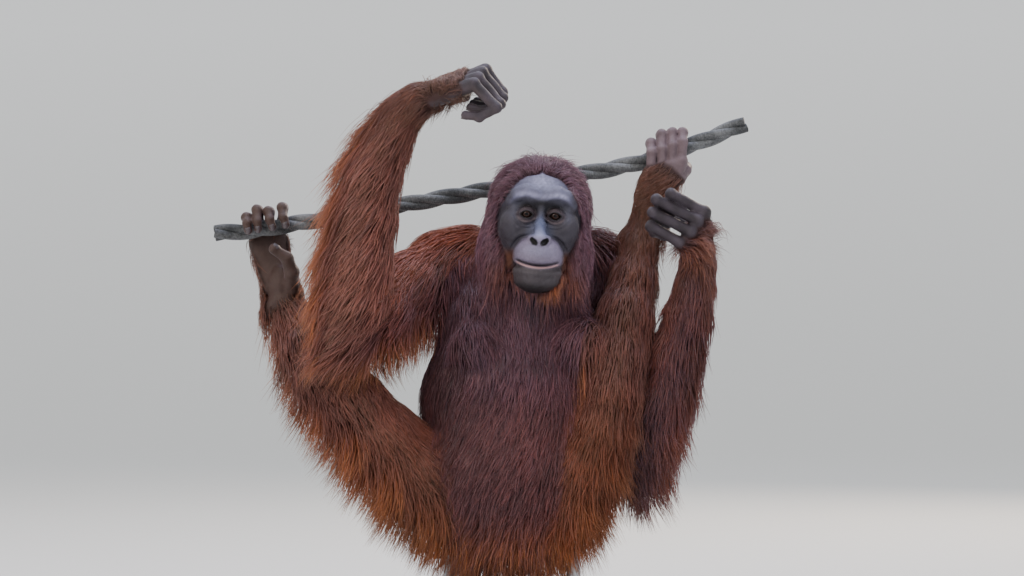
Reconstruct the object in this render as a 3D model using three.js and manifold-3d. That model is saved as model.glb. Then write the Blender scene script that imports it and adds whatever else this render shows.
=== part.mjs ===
// Life-size still model of an adult female Bornean orangutan, hanging by both feet
// from a short length of twisted rope, one arm raised and the other hand loosely closed.
// Millimetres, +Z up, +X to the viewer's right, -Y towards the viewer.
// The origin is the centre of the underside of the display stand.
import * as THREE from 'three';
import { mergeVertices } from 'three/addons/utils/BufferGeometryUtils.js';
import Module from 'manifold-3d';

const wasm = await Module();
wasm.setup();

// Driving dimensions
const GAP = 0.3;                  // clearance between touching solids
const LIMB_SIDES = 10;            // facets round a limb
const DIGIT_SIDES = 6;            // facets round a finger or toe
const ROPE_SIDES = 10;
const DOME_ANGLE = 50 * Math.PI / 180;   // where the one ring of a domed end sits
const EYE_SPACING = 47.6;         // between the pupils
const EYE_RADIUS = 11.6;
const HEAD_ROLL = 4.4 * Math.PI / 180;   // the head leans to its left shoulder
const FACE_POINT = [48, -150, 721];      // midway between the eyes, at the front of the eyeballs
const FINGER_RADII = [10, 9.2, 8.4, 6.8];
const TOE_RADII = [8.8, 8.6, 8.6, 8.6, 7.4, 6.4];
const ROPE_RADIUS = 15;
const ROPE_Y = 60;
const BASE_SIZE = [560, 420, 18];
const BASE_EDGE = 3;
const ROD_RADIUS = 12;
const ROD_SPACING = 210;
const ROD_Y = 12;
const ROD_TOP = 232;

const vector = (point) => new THREE.Vector3(...point);
const FRONT = vector([0, -1, 0]);

// One station of a limb: its place, half width across the picture and half depth.
function station(at, wide, deep) {
  return { at: vector(at), wide, deep: deep ?? wide };
}

// A smooth closed body through the stations, with elliptical sections and domed ends.
// The sections stand square to the path, or to the axis where one is given.
function loft(stations, grow, options = {}) {
  const { side = null, axis = null, sides = LIMB_SIDES, steps = 2, dome = 0.55 } = options;
  const path = new THREE.CatmullRomCurve3(stations.map((s) => s.at), false, 'centripetal');
  const size = new THREE.CatmullRomCurve3(
    stations.map((s) => new THREE.Vector3(s.wide, s.deep, 0)), false, 'catmullrom', 0.4);
  const rings = [];
  const last = (stations.length - 1) * steps;
  const directionAt = (t) => (axis ? vector(axis) : path.getTangent(t));
  const pushRing = (t, shift, scale) => {
    const tangent = directionAt(t);
    const centre = path.getPoint(t).addScaledVector(tangent, shift);
    const spread = size.getPoint(t);
    const across = side
      ? vector(side).addScaledVector(tangent, -vector(side).dot(tangent)).normalize()
      : new THREE.Vector3().crossVectors(FRONT, tangent).normalize();
    const through = new THREE.Vector3().crossVectors(tangent, across);
    rings.push({ centre, across, through, wide: (spread.x + grow) * scale, deep: (spread.y + grow) * scale });
  };
  const domeLength = (index) => {
    return Math.min(stations[index].wide, stations[index].deep) * dome + grow;
  };
  pushRing(0, -domeLength(0) * Math.sin(DOME_ANGLE), Math.cos(DOME_ANGLE));
  for (let i = 0; i <= last; i += 1) {
    pushRing(i / last, 0, 1);
  }
  pushRing(1, domeLength(stations.length - 1) * Math.sin(DOME_ANGLE), Math.cos(DOME_ANGLE));
  const positions = [];
  for (const ring of rings) {
    for (let j = 0; j < sides; j += 1) {
      const angle = (j / sides) * Math.PI * 2;
      const point = ring.centre.clone()
        .addScaledVector(ring.across, Math.cos(angle) * ring.wide)
        .addScaledVector(ring.through, Math.sin(angle) * ring.deep);
      positions.push(...point.toArray());
    }
  }
  const startPole = path.getPoint(0).addScaledVector(directionAt(0), -domeLength(0));
  const endPole = path.getPoint(1).addScaledVector(directionAt(1), domeLength(stations.length - 1));
  positions.push(...startPole.toArray(), ...endPole.toArray());
  const index = [];
  for (let i = 0; i + 1 < rings.length; i += 1) {
    for (let j = 0; j < sides; j += 1) {
      const a = i * sides + j;
      const b = i * sides + ((j + 1) % sides);
      index.push(a, b, a + sides, b, b + sides, a + sides);
    }
  }
  const startIndex = rings.length * sides;
  const endRing = (rings.length - 1) * sides;
  for (let j = 0; j < sides; j += 1) {
    const next = (j + 1) % sides;
    index.push(startIndex, next, j);
    index.push(startIndex + 1, endRing + j, endRing + next);
  }
  const geometry = new THREE.BufferGeometry();
  geometry.setAttribute('position', new THREE.Float32BufferAttribute(positions, 3));
  geometry.setIndex(index);
  return toSolid(geometry);
}

// Turns a three.js geometry into a solid that can be joined and cut.
function toSolid(source) {
  let geometry = source.clone();
  geometry.deleteAttribute('normal');
  geometry.deleteAttribute('uv');
  geometry = mergeVertices(geometry, 1e-4);
  const vertProperties = new Float32Array(geometry.attributes.position.array);
  const triVerts = new Uint32Array(geometry.index.array);
  if (signedVolume(vertProperties, triVerts) < 0) {
    for (let i = 0; i < triVerts.length; i += 3) {
      [triVerts[i], triVerts[i + 1]] = [triVerts[i + 1], triVerts[i]];
    }
  }
  return new wasm.Manifold(new wasm.Mesh({ numProp: 3, vertProperties, triVerts }));
}

function signedVolume(positions, triangles) {
  let total = 0;
  for (let i = 0; i < triangles.length; i += 3) {
    const [a, b, c] = [0, 1, 2].map((k) => {
      return new THREE.Vector3().fromArray(positions, triangles[i + k] * 3);
    });
    total += a.dot(b.cross(c));
  }
  return total / 6;
}

// Head-local directions: u to the viewer's right, f forward out of the face, v up.
const HEAD_U = vector([Math.cos(HEAD_ROLL), 0, -Math.sin(HEAD_ROLL)]);
const HEAD_V = vector([Math.sin(HEAD_ROLL), 0, Math.cos(HEAD_ROLL)]);
const HEAD_F = FRONT;

function headPoint(u, f, v) {
  return vector(FACE_POINT)
    .addScaledVector(HEAD_U, u)
    .addScaledVector(HEAD_F, f)
    .addScaledVector(HEAD_V, v)
    .toArray();
}

// An ellipsoid set in the head's directions.
function headBlob(centre, radii, grow, [segments, bands] = [12, 8]) {
  const geometry = new THREE.SphereGeometry(1, segments, bands);
  geometry.rotateX(Math.PI / 2);
  const [ru, rf, rv] = radii.map((r) => r + grow);
  const frame = new THREE.Matrix4().makeBasis(
    HEAD_U.clone().multiplyScalar(ru),
    HEAD_F.clone().multiplyScalar(-rf),
    HEAD_V.clone().multiplyScalar(rv));
  frame.setPosition(vector(headPoint(...centre)));
  geometry.applyMatrix4(frame);
  return toSolid(geometry);
}

const union = (solids) => solids.reduce((all, next) => all.add(next));

// Materials
function material(color, roughness, metalness = 0) {
  return new THREE.MeshStandardMaterial({ color, roughness, metalness });
}
const COAT_DARK = material('#4d2a24', 0.8);
const COAT_RED = material('#7a4128', 0.8);
const COAT_MAROON = material('#5c3434', 0.8);
const BARE_SKIN = material('#3f3a3e', 0.6);
const FOOT_SKIN = material('#7d665c', 0.65);
const EYE = material('#2a140c', 0.1);
const ROPE = material('#5b5d60', 0.7);
const STAND_PLATE = material('#2b2d30', 0.6);
const STEEL = material('#b4b6b8', 0.35, 1);

const group = new THREE.Group();
const placed = [];

function boxesTouch(a, b) {
  const boxA = a.boundingBox();
  const boxB = b.boundingBox();
  return [0, 1, 2].every((k) => boxA.min[k] <= boxB.max[k] && boxB.min[k] <= boxA.max[k]);
}

// Adds a named node. What is already placed keeps its shape and is cut out with the gap.
function addNode(name, build, look) {
  let solid = build(0);
  for (const cutter of placed) {
    if (boxesTouch(solid, cutter)) {
      solid = solid.subtract(cutter);
    }
  }
  const pieces = solid.decompose();
  pieces.sort((a, b) => b.volume() - a.volume());
  const { vertProperties, triVerts } = pieces[0].getMesh();
  const geometry = new THREE.BufferGeometry();
  geometry.setAttribute('position', new THREE.BufferAttribute(new Float32Array(vertProperties), 3));
  geometry.setIndex(new THREE.BufferAttribute(new Uint32Array(triVerts), 1));
  const mesh = new THREE.Mesh(geometry, look);
  mesh.name = name;
  group.add(mesh);
  placed.push(build(GAP));
}

// Display stand: a flat plate and two short rods up into the rump and thighs.
function standBase(grow) {
  const [length, width, height] = BASE_SIZE.map((value) => value + 2 * grow);
  const outline = new THREE.Shape();
  const radius = 30;
  const [x, y] = [length / 2 - BASE_EDGE, width / 2 - BASE_EDGE];
  outline.moveTo(-x + radius, -y);
  outline.lineTo(x - radius, -y);
  outline.absarc(x - radius, -y + radius, radius, -Math.PI / 2, 0);
  outline.absarc(x - radius, y - radius, radius, 0, Math.PI / 2);
  outline.absarc(-x + radius, y - radius, radius, Math.PI / 2, Math.PI);
  outline.absarc(-x + radius, -y + radius, radius, Math.PI, Math.PI * 1.5);
  const geometry = new THREE.ExtrudeGeometry(outline, {
    depth: height - 2 * BASE_EDGE,
    bevelThickness: BASE_EDGE,
    bevelSize: BASE_EDGE,
    bevelSegments: 1,
    curveSegments: 2,
  });
  geometry.translate(0, 0, BASE_EDGE - grow);
  return toSolid(geometry);
}

function standRod(x, grow) {
  const bottom = BASE_SIZE[2] + GAP - grow;
  const top = ROD_TOP + grow;
  const geometry = new THREE.CylinderGeometry(ROD_RADIUS + grow, ROD_RADIUS + grow, top - bottom, 16);
  geometry.rotateX(Math.PI / 2);
  geometry.translate(x, ROD_Y, (top + bottom) / 2);
  return toSolid(geometry);
}

addNode('stand_base', standBase, STAND_PLATE);
addNode('stand_rod_right', (grow) => standRod(-ROD_SPACING / 2, grow), STEEL);
addNode('stand_rod_left', (grow) => standRod(ROD_SPACING / 2, grow), STEEL);

// The rope: a gentle curve rising to the viewer's right.
const ROPE_HEIGHTS = [
  [-510, 694], [-450, 698], [-312, 720], [-158, 748], [-21, 772],
  [151, 801], [220, 815], [306, 844], [400, 882],
];
addNode('perch_rope', (grow) => {
  const stations = ROPE_HEIGHTS.map(([x, z]) => station([x, ROPE_Y, z], ROPE_RADIUS));
  return loft(stations, grow, { sides: ROPE_SIDES, steps: 1, dome: 0.15 });
}, ROPE);

// Eyes
for (const [name, direction] of [['eye_right', -1], ['eye_left', 1]]) {
  addNode(name, (grow) => {
    const centre = [direction * EYE_SPACING / 2, -EYE_RADIUS, 0];
    return headBlob(centre, [EYE_RADIUS, EYE_RADIUS, EYE_RADIUS], grow, [8, 6]);
  }, EYE);
}

// Fingers and toes: each joint's place by digit, from the knuckle to the tip.
function digit(joints, radii, grow) {
  const stations = joints.map((at, i) => station(at, radii[Math.min(i, radii.length - 1)]));
  return loft(stations, grow, { side: [0.31, 0.93, 0.2], sides: DIGIT_SIDES, steps: joints.length > 4 ? 1 : 2, dome: 0.8 });
}

const RIGHT_FINGERS = {
  little: [[-63, -180, 936], [-26, -187, 897], [-54, -184, 882], [-77, -181, 885]],
  ring: [[-56, -160, 947], [-20, -165, 905], [-47, -164, 892], [-68, -162, 899]],
  middle: [[-50, -140, 957], [-16, -143, 916], [-42, -143, 900], [-64, -142, 906]],
  index: [[-44, -120, 963], [-16, -122, 926], [-38, -123, 909], [-58, -122, 911]],
};
const LEFT_FINGERS = {
  index: [[322, -96, 727], [265, -118, 757], [268, -88, 747], [289, -74, 739]],
  middle: [[308, -108, 713], [241, -122, 747], [247, -92, 735], [270, -76, 726]],
  ring: [[297, -112, 694], [235, -120, 726], [240, -90, 715], [262, -75, 707]],
  little: [[281, -108, 676], [232, -112, 703], [238, -84, 694], [257, -72, 686]],
};
for (const [name, joints] of Object.entries(RIGHT_FINGERS)) {
  addNode(`finger_right_${name}`, (grow) => digit(joints, FINGER_RADII, grow), BARE_SKIN);
}
for (const [name, joints] of Object.entries(LEFT_FINGERS)) {
  addNode(`finger_left_${name}`, (grow) => digit(joints, FINGER_RADII, grow), BARE_SKIN);
}
const THUMB_RADII = [13, 10.5, 8];
addNode('thumb_right', (grow) => {
  return digit([[-127, -106, 919], [-100, -98, 917], [-78, -102, 919]], THUMB_RADII, grow);
}, BARE_SKIN);
addNode('thumb_left', (grow) => {
  return digit([[317, -58, 681], [300, -44, 701], [280, -42, 716]], THUMB_RADII, grow);
}, BARE_SKIN);

// Toes hook over the rope. The right foot is behind it, the left foot in front of it.
// Each toe: its place along the rope, how high it arches over it and how its tip drifts.
const TOE_NAMES = ['fifth', 'fourth', 'third', 'second'];

function ropeHeightAt(x) {
  const next = ROPE_HEIGHTS.findIndex(([ropeX]) => ropeX > x);
  const [x0, z0] = ROPE_HEIGHTS[next - 1];
  const [x1, z1] = ROPE_HEIGHTS[next];
  return z0 + (z1 - z0) * (x - x0) / (x1 - x0);
}

function hookedToe(x, arch, towards, drift, lean) {
  const rope = ropeHeightAt(x);
  const away = ROPE_RADIUS + TOE_RADII[0] + 1;
  return [
    [x - lean, ROPE_Y - towards * (away + 6), rope - 22],
    [x - lean * 0.3, ROPE_Y - towards * (away + 3), rope + 10],
    [x, ROPE_Y - towards * away * 0.62, rope + arch],
    [x, ROPE_Y + towards * away * 0.62, rope + arch],
    [x + drift * 0.4, ROPE_Y + towards * (away + 1), rope + 14],
    [x + drift, ROPE_Y + towards * (away + 1), rope + 1],
  ];
}

const RIGHT_TOES = [[-455, 23, 4, -12], [-437, 34, 3, -5], [-417.5, 28, 8, 1], [-394, 31, 7, 6]];
const LEFT_TOES = [[238.5, 27, 4, 0], [256.5, 36, 2, 0], [274.5, 33, 2, 1], [292.5, 27, 2, 3]];
RIGHT_TOES.forEach(([x, arch, drift, lean], i) => {
  addNode(`toe_right_${TOE_NAMES[i]}`, (grow) => {
    return digit(hookedToe(x, arch, -1, drift, lean), TOE_RADII, grow);
  }, FOOT_SKIN);
});
LEFT_TOES.forEach(([x, arch, drift, lean], i) => {
  addNode(`toe_left_${TOE_NAMES[i]}`, (grow) => {
    return digit(hookedToe(x, arch, 1, drift, lean), TOE_RADII, grow);
  }, FOOT_SKIN);
});
const BIG_TOE_RADII = [15, 13, 11, 9];
addNode('toe_right_big', (grow) => {
  return digit([[-380, 66, 597], [-377, 46, 627], [-385, 34, 651], [-406, 28, 667]], BIG_TOE_RADII, grow);
}, FOOT_SKIN);
addNode('toe_left_big', (grow) => {
  return digit([[286, 30, 786], [297, 46, 802], [300, 76, 808], [288, 96, 816]], [11, 10, 9, 7.5], grow);
}, FOOT_SKIN);

// Hands and feet
const ACROSS_LEFT_KNUCKLES = [37, 10, 47];
addNode('hand_right', (grow) => loft([
  station([-163, -122, 910], 31, 33),
  station([-136, -133, 922], 30, 36),
  station([-108, -142, 933], 29, 39),
  station([-78, -148, 945], 26, 40),
  station([-58, -150, 953], 19, 38),
], grow, { steps: 1, sides: 8 }), BARE_SKIN);
addNode('hand_left', (grow) => loft([
  station([313, -52, 656], 28, 26),
  station([313, -72, 676], 31, 22),
  station([307, -93, 694], 35, 17),
  station([301, -104, 703], 36, 13),
], grow, { side: ACROSS_LEFT_KNUCKLES, steps: 1, sides: 8 }), BARE_SKIN);
addNode('foot_right', (grow) => loft([
  station([-413, 78, 549], 15, 18),
  station([-402, 80, 579], 24, 25),
  station([-397, 86, 622], 29, 23),
  station([-405, 92, 664], 33, 19),
  station([-419, 95, 684], 36, 13),
], grow, { steps: 1, sides: 8 }), FOOT_SKIN);
addNode('foot_left', (grow) => loft([
  station([207, 40, 674], 20, 24),
  station([219, 33, 687], 30, 29),
  station([232, 28, 725], 31, 24),
  station([245, 26, 759], 32, 19),
  station([258, 24, 795], 36, 15),
  station([264, 24, 812], 37, 12),
], grow, { steps: 1, sides: 8 }), FOOT_SKIN);

// Forearms and shanks, out to the tips of their long hair
addNode('forearm_right', (grow) => loft([
  station([-268, -112, 512], 36, 36),
  station([-270, -112, 550], 57, 54),
  station([-267, -112, 600], 66, 60),
  station([-264, -112, 655], 67, 58),
  station([-246, -112, 713], 62, 54),
  station([-232, -113, 782], 58, 50),
  station([-205, -114, 850], 46, 42),
  station([-181, -117, 892], 36, 35),
  station([-166, -121, 908], 31, 33),
], grow, { steps: 1 }), COAT_RED);
addNode('forearm_left', (grow) => loft([
  station([218, 22, 246], 24, 24),
  station([219, 20, 280], 42, 40),
  station([232, 8, 333], 50, 48),
  station([255, -10, 410], 48, 46),
  station([278, -22, 476], 43, 42),
  station([298, -33, 546], 34, 36),
  station([309, -42, 605], 30, 31),
  station([313, -52, 654], 28, 26),
], grow, { steps: 1 }), COAT_DARK);
addNode('shank_right', (grow) => loft([
  station([-278, -58, 402], 78, 60),
  station([-308, -35, 432], 82, 58),
  station([-368, 30, 503], 62, 45),
  station([-385, 70, 559], 38, 33),
  station([-389, 80, 580], 28, 27),
], grow, { side: [-0.81, -0.1, -0.58], steps: 1 }), COAT_RED);
addNode('shank_left', (grow) => loft([
  station([172, -52, 424], 54, 52),
  station([186, -38, 495], 53, 50),
  station([200, -15, 571], 53, 44),
  station([211, 8, 631], 41, 36),
  station([218, 26, 678], 29, 29),
], grow, { steps: 1 }), COAT_RED);

// Trunk, from the rump to the hump of the shoulders
addNode('trunk', (grow) => loft([
  station([-2, 24, 146], 100, 82),
  station([-4, 18, 184], 132, 108),
  station([-3, 12, 240], 150, 122),
  station([0, 6, 320], 158, 136),
  station([0, 5, 400], 156, 140),
  station([8, 14, 480], 150, 128),
  station([18, 34, 560], 154, 114),
  station([20, 60, 620], 156, 94),
  station([6, 82, 670], 130, 62),
  station([-16, 90, 692], 92, 40),
], grow, { side: [1, 0, 0], axis: [0, 0, 1], sides: 14, steps: 1 }), COAT_MAROON);

// Head
for (const [name, direction] of [['ear_right', -1], ['ear_left', 1]]) {
  addNode(name, (grow) => {
    return headBlob([direction * 86, -84, 8], [10, 12, 18], grow, [8, 6]);
  }, BARE_SKIN);
}
addNode('head', (grow) => union([
  headBlob([-3, -88, 20], [90, 91, 84], grow, [12, 9]),
  headBlob([0, -30, 30], [56, 35, 34], grow, [8, 6]),
  headBlob([0, -42, -36], [72, 38, 48], grow, [10, 7]),
  headBlob([-60, -98, -44], [56, 60, 72], grow, [8, 6]),
  headBlob([48, -98, -44], [52, 60, 72], grow, [8, 6]),
]), COAT_MAROON);
// The muzzle juts forward under a dished nose. The lower jaw closes against it.
addNode('muzzle', (grow) => union([
  headBlob([0, 2, -68], [47, 44, 27], grow, [10, 7]),
  headBlob([0, 2, -40], [26, 30, 22], grow, [8, 6]),
  headBlob([0, 20, -46], [17, 16, 11], grow, [8, 6]),
]), BARE_SKIN);
addNode('lower_jaw', (grow) => union([
  headBlob([0, -2, -92], [43, 44, 24], grow, [10, 7]),
  headBlob([0, -8, -106], [36, 38, 24], grow, [8, 6]),
]), BARE_SKIN);
addNode('neck', (grow) => loft([
  station([46, -38, 690], 88, 62),
  station([42, -24, 645], 104, 84),
  station([38, 10, 600], 112, 92),
], grow, { steps: 1, sides: 8 }), COAT_MAROON);

// Thighs and upper arms
addNode('thigh_right', (grow) => loft([
  station([-86, 8, 232], 94, 94),
  station([-158, -18, 270], 94, 84),
  station([-240, -42, 316], 86, 70),
  station([-264, -54, 370], 74, 63),
], grow, { side: [-0.74, -0.1, -0.67] }), COAT_RED);
addNode('thigh_left', (grow) => loft([
  station([52, 6, 212], 76, 88),
  station([107, -15, 254], 76, 76),
  station([145, -35, 326], 66, 64),
  station([165, -50, 392], 57, 56),
], grow), COAT_RED);
addNode('upper_arm_right', (grow) => loft([
  station([-80, 84, 643], 70, 62),
  station([-120, 62, 632], 76, 66),
  station([-174, 8, 602], 75, 66),
  station([-228, -68, 556], 66, 58),
  station([-258, -100, 530], 50, 46),
], grow, { steps: 1 }), COAT_MAROON);
addNode('upper_arm_left', (grow) => loft([
  station([130, 80, 640], 66, 58),
  station([162, 85, 600], 68, 60),
  station([183, 86, 528], 62, 54),
  station([203, 72, 433], 54, 50),
  station([215, 48, 357], 52, 48),
  station([221, 28, 310], 46, 44),
], grow, { steps: 1 }), COAT_DARK);

export default group;
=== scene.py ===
"""Adult female orangutan, life size, gripping a slack rope with both feet, held on a display stand.

One skin covers the whole body. The coat is solid mesh: tapered locks that are grown over the skin
along the lie of the hair. Shapes are worked out in millimetres and written to the meshes in metres.
The right side is the animal's own right.
"""
import math

import bpy
import numpy as np
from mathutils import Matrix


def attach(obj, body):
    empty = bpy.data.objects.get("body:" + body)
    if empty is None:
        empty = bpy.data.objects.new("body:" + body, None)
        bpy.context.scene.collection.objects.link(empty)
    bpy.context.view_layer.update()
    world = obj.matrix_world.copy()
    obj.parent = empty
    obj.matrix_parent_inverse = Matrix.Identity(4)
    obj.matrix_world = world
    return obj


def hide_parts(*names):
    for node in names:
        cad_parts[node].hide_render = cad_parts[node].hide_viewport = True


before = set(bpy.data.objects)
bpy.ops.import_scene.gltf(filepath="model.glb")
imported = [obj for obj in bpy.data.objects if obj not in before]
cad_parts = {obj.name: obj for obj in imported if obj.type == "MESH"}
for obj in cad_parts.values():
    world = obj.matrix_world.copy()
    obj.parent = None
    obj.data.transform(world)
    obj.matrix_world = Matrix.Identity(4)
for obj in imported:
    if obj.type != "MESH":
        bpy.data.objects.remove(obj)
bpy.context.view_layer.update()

MM = 0.001
SEED = 20461
SKIN_TRIANGLES = 196000
DOWN = np.array([0.0, 0.0, -1.0])

# Grid steps of the distance fields, finest where the skin has the most detail
BODY_GRID = 7.0
GRIP_GRID = 2.15
FACE_GRID = 1.55
EAR_GRID = 1.5

# Camera and picture
CAMERA_AT = (0.0, -6.0, 0.6)
FRAME_WIDTH = 1.7408
SENSOR_WIDTH = 36.0

# Head frame: u across the face, f out of the face, v up the face
FACE_POINT = np.array([48.0, -150.0, 721.0])
HEAD_ROLL = math.radians(4.4)
HEAD_AXES = np.array([
    [math.cos(HEAD_ROLL), 0.0, -math.sin(HEAD_ROLL)],
    [0.0, -1.0, 0.0],
    [math.sin(HEAD_ROLL), 0.0, math.cos(HEAD_ROLL)],
])
EYE_SIDE = 23.8
EYE_DEPTH = -11.6
EYE_RADIUS = 11.6
CORNEA_RISE = 0.9
EYE_OPENING = (9.6, 5.2, -0.9)

# Bones with their flesh: x, y, z and radius of each station
LIMBS = {
    "upper_arm_right": [
        (-72, 85, 648, 50), (-115, 66, 636, 50), (-174, 12, 601, 46), (-225, -66, 563, 42),
        (-262, -110, 535, 37),
    ],
    "forearm_right": [
        (-270, -112, 533, 36), (-262, -112, 587, 42), (-254, -112, 653, 43), (-243, -112, 727, 39),
        (-228, -113, 797, 34), (-203, -114, 855, 28), (-183, -117, 889, 24), (-172, -119, 901, 21),
    ],
    "upper_arm_left": [
        (130, 80, 643, 50), (162, 85, 600, 48), (181, 84, 528, 42), (199, 70, 433, 38), (213, 48, 357, 34),
        (220, 28, 318, 32),
    ],
    "forearm_left": [
        (220, 26, 313, 31), (235, 14, 355, 37), (257, -8, 418, 37), (280, -24, 495, 32), (298, -36, 563, 26),
        (309, -44, 614, 22), (313, -50, 640, 19),
    ],
    "thigh_right": [
        (-37, 12, 240, 66), (-97, 4, 252, 63), (-159, -20, 294, 56), (-219, -45, 350, 49),
        (-262, -57, 400, 45),
    ],
    "shank_right": [
        (-266, -58, 407, 46), (-308, -28, 449, 43), (-345, 20, 498, 36), (-374, 60, 546, 28),
        (-387, 76, 568, 22),
    ],
    "thigh_left": [
        (39, 12, 240, 66), (81, -8, 258, 59), (118, -30, 308, 51), (148, -46, 367, 44), (166, -54, 422, 40),
    ],
    "shank_left": [
        (167, -55, 428, 40), (179, -40, 492, 38), (193, -18, 559, 36), (208, 8, 622, 29), (217, 22, 662, 22),
    ],
}
TRUNK_FORMS = [
    ((-2, 22, 234), (114, 90, 62)),
    ((-4, 8, 305), (144, 114, 132)),
    ((-2, 10, 420), (140, 110, 130)),
    ((12, 26, 530), (126, 92, 105)),
    ((18, 60, 612), (134, 60, 62)),
]
BREASTS = [((118, -50, 512), (36, 34, 32)), ((-60, -58, 508), (34, 30, 32))]
NECK = [(46, -30, 694, 54), (40, -8, 645, 66), (36, 22, 596, 70)]

# Digits: the middle line from knuckle to tip
FINGER_RADII = (9.5, 8.8, 8.0, 6.5)
RIGHT_FINGERS = {
    "little": [(-63, -180, 936), (-26, -187, 897), (-54, -184, 882), (-77, -181, 885)],
    "ring": [(-56, -160, 947), (-20, -165, 905), (-47, -164, 892), (-68, -162, 899)],
    "middle": [(-50, -140, 957), (-16, -143, 916), (-42, -143, 900), (-64, -142, 906)],
    "index": [(-44, -120, 963), (-16, -122, 926), (-38, -123, 909), (-58, -122, 911)],
}
RIGHT_THUMB = [(-127, -106, 919), (-100, -98, 917), (-78, -102, 919)]
LEFT_FINGERS = {
    "index": [(322, -96, 727), (265, -118, 757), (268, -88, 747), (289, -74, 739)],
    "middle": [(308, -108, 713), (241, -122, 747), (247, -92, 735), (270, -76, 726)],
    "ring": [(297, -112, 694), (235, -120, 726), (240, -90, 715), (262, -75, 707)],
    "little": [(281, -108, 676), (232, -112, 703), (238, -84, 694), (257, -72, 686)],
}
LEFT_THUMB = [(317, -58, 681), (300, -44, 701), (280, -42, 716)]
THUMB_RADII = (12.5, 10.0, 7.6)
TOE_RADII = (8.6, 8.4, 8.3, 8.2, 7.2, 6.2)
RIGHT_TOES = [(-455, 23, 4, -12), (-437, 34, 3, -5), (-417.5, 28, 8, 1), (-394, 31, 7, 6)]
LEFT_TOES = [(238.5, 27, 4, 0), (256.5, 36, 2, 0), (274.5, 33, 2, 1), (292.5, 27, 2, 3)]
RIGHT_BIG_TOE = [(-380, 66, 597), (-377, 46, 627), (-385, 34, 651), (-406, 28, 667)]
LEFT_BIG_TOE = [(286, 30, 786), (297, 46, 802), (300, 76, 808), (288, 96, 816)]

# Rope
ROPE_Y = 60.0
ROPE_RADIUS = 15.0
ROPE_STATIONS = 60
STRAND_SHARE = 0.52
LAY_LENGTH = 0.19
ROPE_HEIGHTS = [
    (-510, 694), (-450, 698), (-312, 720), (-158, 748), (-21, 772), (151, 801), (220, 815), (306, 844),
    (400, 882),
]


def linear(code, alpha=1.0):
    """An sRGB hex colour as linear light."""
    parts = [int(code[i:i + 2], 16) / 255 for i in (1, 3, 5)]
    light = [c / 12.92 if c <= 0.04045 else ((c + 0.055) / 1.055) ** 2.4 for c in parts]
    return (*light, alpha)


def tone(code):
    return np.array(linear(code)[:3])


def unit(v):
    return v / np.maximum(np.linalg.norm(v, axis=-1, keepdims=True), 1e-9)


def ramp(x, low, high):
    """Rises smoothly from 0 at low to 1 at high."""
    t = np.clip((x - low) / (high - low), 0.0, 1.0)
    return t * t * (3 - 2 * t)


def bell(x, width):
    return np.exp(-(x / width) ** 2)


def fill(tree, node, inputs):
    """Sets or links a node's inputs."""
    for key, value in dict(inputs).items():
        if isinstance(value, bpy.types.NodeSocket):
            tree.links.new(value, node.inputs[key])
        else:
            node.inputs[key].default_value = value


def add(tree, kind, inputs=(), **settings):
    """Adds a node with its settings and inputs."""
    made = tree.nodes.new(kind)
    for name, value in settings.items():
        setattr(made, name, value)
    fill(tree, made, inputs)
    return made


def new_object(name, data):
    """An object in the scene, at the origin."""
    made = bpy.data.objects.new(name, data)
    bpy.context.scene.collection.objects.link(made)
    return made


def applied(thing):
    """A plain mesh of an object with its modifiers worked out."""
    graph = bpy.context.evaluated_depsgraph_get()
    return bpy.data.meshes.new_from_object(thing.evaluated_get(graph))


# Distance fields

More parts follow.
